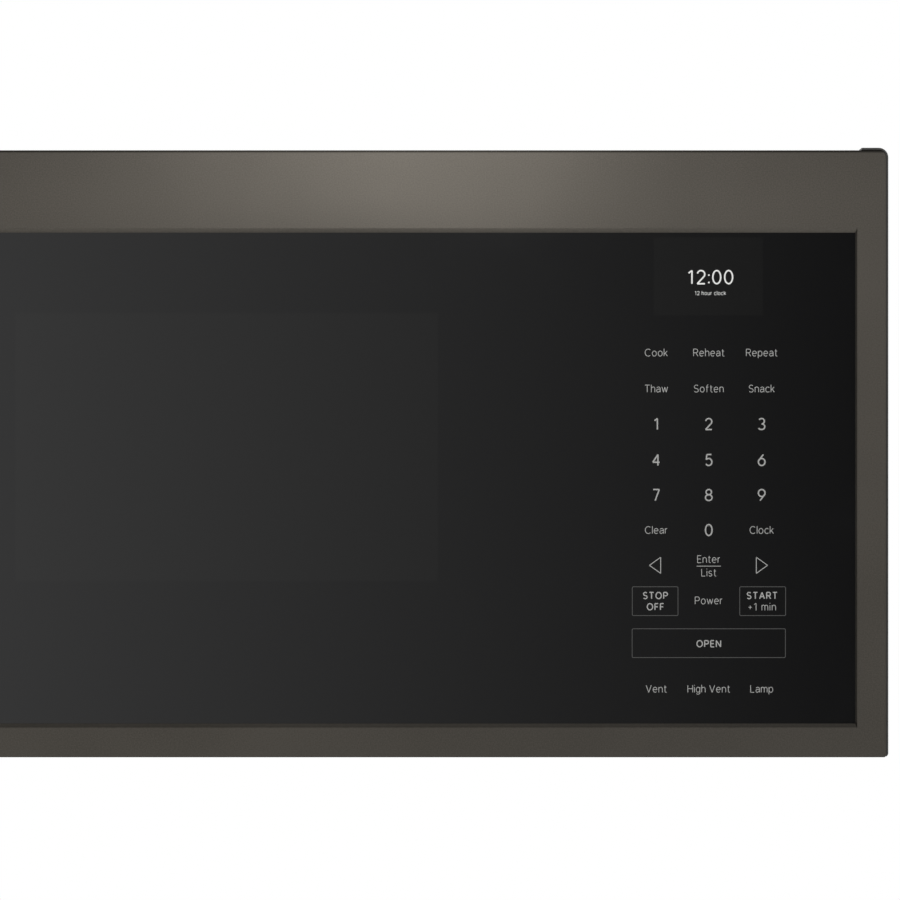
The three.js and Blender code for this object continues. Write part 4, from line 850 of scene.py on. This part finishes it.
# Each letter is its width and its strokes, with capitals 1 high. A stroke runs through points (x, y)
# and arcs (middle x, middle y, radius x, radius y, from degrees, to degrees).
strokes = {
    "A": (0.74, [(0, 0), (0.37, 1), (0.74, 0)], [(0.13, 0.33), (0.61, 0.33)]),
    "C": (0.76, [(0.43, 0.5, 0.43, 0.5, 48, 312)]),
    "E": (0.52, [(0.52, 1), (0, 1), (0, 0), (0.54, 0)], [(0, 0.52), (0.47, 0.52)]),
    "F": (0.5, [(0.5, 1), (0, 1), (0, 0)], [(0, 0.5), (0.45, 0.5)]),
    "H": (0.68, [(0, 0), (0, 1)], [(0.68, 0), (0.68, 1)], [(0, 0.52), (0.68, 0.52)]),
    "L": (0.5, [(0, 1), (0, 0), (0.5, 0)]),
    "N": (0.68, [(0, 0), (0, 1), (0.68, 0), (0.68, 1)]),
    "O": (0.86, [(0.43, 0.5, 0.43, 0.5, 0, 360)]),
    "P": (0.6, [(0, 0), (0, 1), (0.34, 0.73, 0.26, 0.27, 90, -90), (0, 0.46)]),
    "R": (0.62, [(0, 0), (0, 1), (0.34, 0.74, 0.25, 0.26, 90, -90), (0, 0.48)], [(0.33, 0.48), (0.62, 0)]),
    "S": (0.6, [(0.3, 0.75, 0.27, 0.25, 32, 270), (0.3, 0.25, 0.29, 0.25, 90, -152)]),
    "T": (0.66, [(0, 1), (0.66, 1)], [(0.33, 1), (0.33, 0)]),
    "V": (0.72, [(0, 1), (0.36, 0), (0.72, 1)]),
    "a": (0.5, [(0.5, 0), (0.26, 0.48, 0.24, 0.25, 0, 155)],
          [(0.5, 0.43), (0.2, 0.205, 0.2, 0.205, 90, 270), (0.5, 0.17)]),
    "c": (0.5, [(0.3, 0.365, 0.3, 0.365, 45, 315)]),
    "e": (0.56, [(0.02, 0.38), (0.28, 0.365, 0.28, 0.365, 3, 312)]),
    "f": (0.32, [(0.12, 0), (0.32, 0.8, 0.2, 0.24, 180, 95)], [(0, 0.7), (0.32, 0.7)]),
    "g": (0.52, [(0.26, 0.37, 0.26, 0.36, 0, 360)], [(0.52, 0.73), (0.27, -0.02, 0.25, 0.25, 0, -150)]),
    "h": (0.5, [(0, 0), (0, 1.05)], [(0.25, 0.46, 0.25, 0.27, 180, 0), (0.5, 0)]),
    "i": (0.0, [(0, 0), (0, 0.73)], [(0, 0.95), (0, 1.05)]),
    "k": (0.47, [(0, 0), (0, 1.05)], [(0.44, 0.73), (0, 0.27)], [(0.16, 0.43), (0.47, 0)]),
    "l": (0.0, [(0, 0), (0, 1.05)]),
    "m": (0.84, [(0, 0), (0, 0.73)], [(0.21, 0.48, 0.21, 0.25, 180, 0), (0.42, 0)],
          [(0.63, 0.48, 0.21, 0.25, 180, 0), (0.84, 0)]),
    "n": (0.5, [(0, 0), (0, 0.73)], [(0.25, 0.46, 0.25, 0.27, 180, 0), (0.5, 0)]),
    "o": (0.58, [(0.29, 0.365, 0.29, 0.365, 0, 360)]),
    "p": (0.54, [(0, 0.73), (0, -0.28)], [(0.27, 0.365, 0.27, 0.365, 0, 360)]),
    "r": (0.29, [(0, 0), (0, 0.73)], [(0.26, 0.42, 0.26, 0.31, 180, 88)]),
    "s": (0.46, [(0.23, 0.545, 0.2, 0.185, 30, 270), (0.23, 0.18, 0.22, 0.18, 90, -150)]),
    "t": (0.31, [(0.12, 0.95), (0.3, 0.18, 0.18, 0.18, 180, 285)], [(0, 0.72), (0.31, 0.72)]),
    "u": (0.5, [(0, 0.73), (0.25, 0.27, 0.25, 0.27, 180, 360), (0.5, 0.73)], [(0.5, 0.3), (0.5, 0)]),
    "w": (0.8, [(0, 0.73), (0.2, 0), (0.4, 0.7), (0.6, 0), (0.8, 0.73)]),
    "0": (0.6, [(0.3, 0.5, 0.3, 0.5, 0, 360)]),
    "1": (0.4, [(0.04, 0.8), (0.3, 1), (0.3, 0)]),
    "2": (0.58, [(0.29, 0.72, 0.28, 0.28, 168, -38), (0, 0), (0.58, 0)]),
    "3": (0.58, [(0.28, 0.755, 0.25, 0.245, 148, -90), (0.27, 0.255, 0.3, 0.255, 90, -150)]),
    "4": (0.62, [(0.46, 0), (0.46, 1), (0, 0.3), (0.62, 0.3)]),
    "5": (0.56, [(0.52, 1), (0.11, 1), (0.05, 0.53), (0.27, 0.32, 0.29, 0.32, 122, -150)]),
    "6": (0.6, [(0.3, 0.32, 0.3, 0.32, 0, 360)], [(0.45, 1), (0.2, 0.68), (0.05, 0.46)]),
    "7": (0.56, [(0, 1), (0.56, 1), (0.18, 0)]),
    "8": (0.6, [(0.3, 0.765, 0.245, 0.235, 0, 360)], [(0.3, 0.265, 0.3, 0.265, 0, 360)]),
    "9": (0.6, [(0.3, 0.68, 0.3, 0.32, 0, 360)], [(0.15, 0), (0.4, 0.32), (0.55, 0.54)]),
    ":": (0.0, [(0, 0.04), (0, 0.15)], [(0, 0.6), (0, 0.71)]),
    "+": (0.46, [(0, 0.42), (0.46, 0.42)], [(0.23, 0.19), (0.23, 0.65)]),
    " ": (0.12,),
}


def follow(stroke):  # every point along one stroke
    points = []
    for item in stroke:
        if len(item) == 2:
            points.append(Vector(item))
            continue
        x, y, radiusX, radiusY, start, end = item
        steps = max(3, round(abs(end - start) / penLook["arcStep"]))
        for step in range(steps + 1):
            angle = math.radians(start + (end - start) * step / steps)
            points.append(Vector((x + radiusX * math.cos(angle), y + radiusY * math.sin(angle))))
    apart = [(here - before).length > penLook["nearest"] for before, here in zip(points, points[1:])]
    return [here for here, kept in zip(points, [True] + apart) if kept]


def legs(points):  # the line broken at its sharp corners, where one tube would be pinched
    parts = [[points[0]]]
    for before, here, after in zip(points, points[1:], points[2:]):
        parts[-1].append(here)
        if (here - before).angle(after - here) > math.radians(penLook["sharp"]):
            parts.append([here])
    parts[-1].append(points[-1])
    return parts


def lettering(text, x, z, capital, pen, gap=0.25):  # x and z of the line's middle, pen's width in metres
    scale = capital - pen
    wide = sum(strokes[letter][0] for letter in text) + gap * (len(text) - 1)
    drawn = bpy.data.curves.new("line", "CURVE")
    drawn.dimensions = "3D"
    drawn.bevel_depth = pen / 2
    drawn.bevel_resolution = 0
    drawn.use_fill_caps = True
    start = -wide / 2
    for letter in text:
        for stroke in strokes[letter][1:]:
            points = follow(stroke)
            closed = len(stroke) == 1 and abs(stroke[0][-1] - stroke[0][-2]) == 360
            for part in [points[:-1]] if closed else legs(points):
                spline = drawn.splines.new("POLY")
                spline.points.add(len(part) - 1)
                for point, (across, up) in zip(spline.points, part):
                    point.co = ((start + across) * scale, 0, (up - 0.5) * scale, 1)
                spline.use_cyclic_u = closed
        start += strokes[letter][0] + gap
    piece = bpy.data.objects.new("line", drawn)
    bpy.context.scene.collection.objects.link(piece)
    only(piece)
    bpy.ops.object.convert(target="MESH")
    piece.scale.y = 2 * keyLook["film"] / pen  # ink lies flat on the glass
    piece.location = (x, glassFront - keyLook["proud"], z)
    fixPlace(piece)
    return piece


def outline(x, z, width, height, pen, corner, turned=0.0, sides=4):  # a closed line of print
    place = (x, glassFront - keyLook["proud"], z)
    if sides == 3:
        bpy.ops.mesh.primitive_circle_add(vertices=3, radius=1, fill_type="NGON", location=place)
        piece = bpy.context.object
        piece.scale = (width / 1.732, height / 1.5, 1)  # three points on a circle span root 3 by 1.5
    else:
        bpy.ops.mesh.primitive_plane_add(size=1, location=place)
        piece = bpy.context.object
        piece.scale = (width, height, 1)
    piece.rotation_euler = (math.pi / 2, turned, 0)
    fixPlace(piece)
    edit(piece, "VERT", everything=True)
    bpy.ops.mesh.bevel(offset=corner, segments=5, affect="VERTICES")
    bpy.ops.mesh.select_mode(type="FACE")
    bpy.ops.mesh.select_all(action="SELECT")
    bpy.ops.mesh.inset(thickness=pen)
    bpy.ops.mesh.delete(type="FACE")
    bpy.ops.mesh.select_all(action="SELECT")
    bpy.ops.mesh.extrude_region_move(TRANSFORM_OT_translate={"value": (0, keyLook["film"], 0)})
    leaveEdit()
    return piece


def writeWords(plan):
    columns = keyLook["columns"]
    return [
        lettering(text, columns[column] + shift, doorFoot + up, *keyLook[size], gap)
        for text, column, shift, up, size, gap in plan
    ]


def drawMarks(plan):
    columns = keyLook["columns"]
    return [outline(columns[column] + shift, doorFoot + up, *form) for column, shift, up, *form in plan]


def printKeys():
    pale = []
    for up, *words in keyRows:
        for x, text in zip(keyLook["columns"], words):
            size = "digit" if text.isdigit() else "word"
            if text:
                pale.append(lettering(text, x, doorFoot + up, *keyLook[size]))
    pale += writeWords(otherWords) + drawMarks(keyMarks)
    settle(joined(pale, "keyLegends"), "door", "black_glass", keyInk)
    settle(joined(drawMarks(keyFrames), "keyBoxes"), "door", "black_glass", boxInk)
    settle(joined(writeWords(clockWords), "clockDigits"), "door", "black_glass", clockGlow)


doorNodes = {  # node: piece name, edge radius in metres, steps in it
    "door_skin": ("doorFrame", 0.0005, 3),
    "door_trim_left": ("trimLeft", 0.0005, 3),
    "door_trim_right": ("trimRight", 0.0005, 3),
    "door_glass": ("doorGlass", 0.0003, 2),
}


def roundNodes(plan):
    for node, look in plan.items():
        refine(node, *look)


roundNodes(doorNodes)
printKeys()
print("door front done")


roundedNodes = {  # node: piece name, edge radius in metres
    "outer_case": ("caseShell", 0.0003),
    "base_plate": ("basePan", 0.0003),
    "back_panel": ("backPanel", 0.0003),
    "front_plate": ("frontPlate", 0.0003),
    "wall_plate": ("wallPlate", 0.0004),
    "vent_grille": ("topGrille", 0.0004),
    "duct_cover": ("ductCover", 0.0003),
    "cord_gland": ("cordGland", 0.0004),
    "hinge_bracket_upper": ("upperHinge", 0.0003),
    "hinge_bracket_lower": ("lowerHinge", 0.0003),
    "oven_cavity": ("ovenLiner", 0.0003),
    "glass_tray": ("glassTray", 0.0006),
    "drive_coupler": ("trayCoupler", 0.0005),
    "roller_ring": ("rollerRing", 0.0005),
    "roller_wheel_1": ("rollerOne", 0.0005),
    "roller_wheel_2": ("rollerTwo", 0.0005),
    "roller_wheel_3": ("rollerThree", 0.0005),
    "door_carrier": ("doorCarrier", 0.0006),
    "choke_pan": ("chokePan", 0.0002),
    "choke_cover": ("chokeCover", 0.0003),
    "inner_window": ("innerPane", 0.0003),
    "latch_slider": ("latchHooks", 0.0004),
    "latch_housing": ("latchHousing", 0.0004),
    "cooktop_lens_left": ("lensLeft", 0.0005),
    "cooktop_lens_right": ("lensRight", 0.0005),
    "waveguide_cover": ("micaCover", 0.0001),
}
roundNodes(roundedNodes)
print("solids rounded:", len(roundedNodes))


def squeezeSpring():  # the latch spring, smooth shaded, rides on the door as one piece
    spring = copyOf("latch_spring", "latchSpring")
    smooth(spring, 60)
    settle(spring, "door", slotOf["latch_spring"], replaced=("latch_spring",))
    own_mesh(spring)


squeezeSpring()
print("latch spring made")


filterLook = {
    "rim": 0.009,
    "sink": 0.005,
    "edge": 0.0006,
    "columns": 26,
    "rows": 32,
    "strand": 0.0008,
    "tucked": 0.0005,  # how far the nets go in under the rim
    "layers": (0.0026, 0.0042),  # above the frame's lower face
    "ring": 0.009,
    "ringWire": 0.0009,
    "ringAt": (0, 0.024, 0.0013),  # from the middle of the lower front edge, as is the tab
    "tab": ((-0.004, 0.0085, 0.0003), (0.004, 0.017, 0.0009)),
    "tabEdge": 0.0002,
    "tabBend": (0, 0.003, 0.0016),
}


def strandNet(low, high, z):  # expanded metal: a grid is poked and its own edges go, so diamonds stay
    hair = 0.0001  # what counts as touching
    bpy.ops.mesh.primitive_grid_add(
        x_subdivisions=filterLook["columns"],
        y_subdivisions=filterLook["rows"],
        size=1,
        location=((low.x + high.x) / 2, (low.y + high.y) / 2, z),
    )
    net = bpy.context.object
    net.scale = (high.x - low.x, high.y - low.y, 1)
    fixPlace(net)
    edit(net, everything=True)
    bpy.ops.mesh.poke()
    edit(net, "EDGE")
    leaveEdit()
    for edge in net.data.edges:
        first, second = [net.data.vertices[index].co for index in edge.vertices]
        middle = (first + second) / 2
        inner = all(low[axis] + hair < middle[axis] < high[axis] - hair for axis in (0, 1))
        edge.select = inner and min(abs(first.x - second.x), abs(first.y - second.y)) < hair
    bpy.ops.object.mode_set(mode="EDIT")
    bpy.ops.mesh.dissolve_edges(use_verts=False)
    leaveEdit()
    modify(net, "WIREFRAME", thickness=filterLook["strand"], use_even_offset=False)
    return net


def buildFilter(node, name):
    look = filterLook
    low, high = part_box(node)
    rim = copyOf(node, name + "Frame")
    pickFaces(rim, lambda middle, normal: normal.z < -0.9 and middle.z < low.z + look["tucked"])
    bpy.ops.mesh.inset(thickness=look["rim"])
    bpy.ops.mesh.extrude_region_move(TRANSFORM_OT_translate={"value": (0, 0, look["sink"])})
    leaveEdit()
    soften(rim, look["edge"], 3)
    smooth(rim)
    settle(rim, bodyOf[node], "aluminium", replaced=(node,))
    border = look["rim"] - look["tucked"]
    inset = Vector((border, border, 0))
    nets = [strandNet(low + inset, high - inset, low.z + lift) for lift in look["layers"]]
    settle(joined(nets, name + "Net"), bodyOf[node], "aluminium")
    front = Vector(((low.x + high.x) / 2, low.y, low.z))
    bpy.ops.mesh.primitive_torus_add(
        major_segments=40,
        minor_segments=10,
        major_radius=look["ring"],
        minor_radius=look["ringWire"],
        location=front + Vector(look["ringAt"]),
    )
    ring = bpy.context.object
    fixPlace(ring)
    tab = block(name + "Tab", *[front + Vector(corner) for corner in look["tab"]])
    pickFaces(tab, lambda place, normal: normal.y > 0.9)
    bpy.ops.mesh.extrude_region_move(TRANSFORM_OT_translate={"value": look["tabBend"]})
    leaveEdit()
    soften(tab, look["tabEdge"])
    pull = joined([ring, tab], name + "Pull")
    smooth(pull)
    settle(pull, bodyOf[node], "zinc_steel", screwFinish)


buildFilter("grease_filter_left", "leftFilter")
buildFilter("grease_filter_right", "rightFilter")
print("grease filters done")


screwLook = {
    "radius": 0.0033,
    "height": 0.0009,
    "crown": 0.0004,
    "taper": 0.72,
    "cross": 0.0036,
    "slot": 0.0008,
    "deep": 0.0007,
    "edge": 0.00012,
    "angle": 40,
}


def modelScrew():  # a pan head with a cross, at the origin, facing up
    look = screwLook
    side = look["height"] - look["crown"]
    bpy.ops.mesh.primitive_cylinder_add(
        vertices=28,
        radius=look["radius"],
        depth=side,
        location=(0, 0, side / 2),
    )
    screw = bpy.context.object
    fixPlace(screw)
    pickFaces(screw, lambda middle, normal: normal.z > 0.9)
    bpy.ops.mesh.extrude_region_move(TRANSFORM_OT_translate={"value": (0, 0, look["crown"])})
    bpy.ops.transform.resize(value=(look["taper"], look["taper"], 1), center_override=(0, 0, look["height"]))
    leaveEdit()
    top = Vector((0, 0, look["height"]))
    half = Vector((look["cross"] / 2, look["slot"] / 2, look["deep"]))
    for reach in (half, half.yxz):
        slot = block("slotCutter", top - reach, top + reach)
        modify(screw, "BOOLEAN", operation="DIFFERENCE", object=slot, solver="EXACT")
        only(slot)
        bpy.ops.object.delete()
    soften(screw, look["edge"], 2, look["angle"])
    smooth(screw, look["angle"])
    return screw


def grid(across, along):  # each of the first numbers with each of the second
    return [(first, second) for first in across for second in along]


caseLow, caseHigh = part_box("outer_case")
coverLow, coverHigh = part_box("duct_cover")
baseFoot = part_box("base_plate")[0].z
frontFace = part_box("front_plate")[0].y
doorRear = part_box("choke_cover")[1].y
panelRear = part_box("back_panel")[1].y
sideSpots = [(-0.034, -0.17), (-0.034, 0.17), (-0.33, -0.19), (-0.33, 0.19), (-0.18, -0.205)]
panelSpots = grid((-0.365, -0.19, 0, 0.19, 0.365), (-0.205, 0.205)) + grid((-0.365, 0.365), (0,))
baseSpots = grid((-0.36, 0, 0.36), (-0.34, -0.022)) + grid((-0.244, 0.244), (-0.285,))
frontSpots = grid((0.352,), (-0.185, 0.185)) + grid((0.27, -0.1), (-0.2, 0.2))
doorSpots = grid((-0.3, -0.02, 0.27), (-0.175, 0.178)) + [(0.345, 0.02)]
coverSpots = grid((coverLow.x + 0.012, coverHigh.x - 0.012), (coverLow.y + 0.01, coverHigh.y - 0.01))
screwPlan = {  # name: body, the way its heads face, their places
    "leftCaseScrews": ("case", (-1, 0, 0), [(caseLow.x, y, z) for y, z in sideSpots]),
    "rightCaseScrews": ("case", (1, 0, 0), [(caseHigh.x, y, z) for y, z in sideSpots]),
    "panelScrews": ("case", (0, 1, 0), [(x, panelRear, z) for x, z in panelSpots]),
    "baseScrews": ("case", (0, 0, -1), [(x, y, baseFoot) for x, y in baseSpots]),
    "frontPlateScrews": ("case", (0, -1, 0), [(x, frontFace, z) for x, z in frontSpots]),
    "doorScrews": ("door", (0, 1, 0), [(x, doorRear, z) for x, z in doorSpots]),
    "coverScrews": ("case", (0, 0, 1), [(x, y, coverHigh.z) for x, y in coverSpots]),
}


def driveScrews():
    model = modelScrew()
    for name, (body, facing, places) in screwPlan.items():
        turn = Vector(facing).to_track_quat("Z", "Y").to_matrix().to_4x4()
        heads = []
        for place in places:
            head = bpy.data.objects.new(name, model.data.copy())
            bpy.context.scene.collection.objects.link(head)
            spin = Matrix.Rotation(random.uniform(0, math.pi), 4, "Z")
            head.data.transform(Matrix.Translation(place) @ turn @ spin)
            heads.append(head)
        settle(joined(heads, name), body, "zinc_steel", screwFinish)
    only(model)
    bpy.ops.object.delete()


random.seed(7)
driveScrews()
print("screws driven")


beadLook = {
    "width": 0.009,
    "rise": 0.0013,
    "sunk": 0.0002,
    "slope": 0.0022,
    "across": 0.33,
    "up": 0.165,
    "gap": 0.016,
    "edge": 0.0006,
}


def pressBeads():  # the stiffening ridges pressed out round the back panel
    look = beadLook
    half, base, top = look["width"] / 2, panelRear - look["sunk"], panelRear + look["rise"]
    long, tall = look["across"] - look["gap"], look["up"] - look["gap"]
    ridges = []
    for side in (-1, 1):
        x, z = side * look["across"], side * look["up"]
        ridges.append(block("ridge", (x - half, base, -tall), (x + half, top, tall)))
        ridges.append(block("ridge", (-long, base, z - half), (long, top, z + half)))
    for ridge in ridges:
        middle = sum((Vector(corner) for corner in ridge.bound_box), Vector()) / 8
        narrower, shorter = [1 - 2 * look["slope"] / length for length in ridge.dimensions.xz]
        pickFaces(ridge, lambda place, normal: normal.y > 0.9)
        bpy.ops.transform.resize(value=(narrower, 1, shorter), center_override=middle)
        leaveEdit()
        soften(ridge, look["edge"], 3, 20)
    beads = joined(ridges, "panelBeads")
    smooth(beads)
    settle(beads, "case", "zinc_steel")


pressBeads()
print("back panel beads pressed")
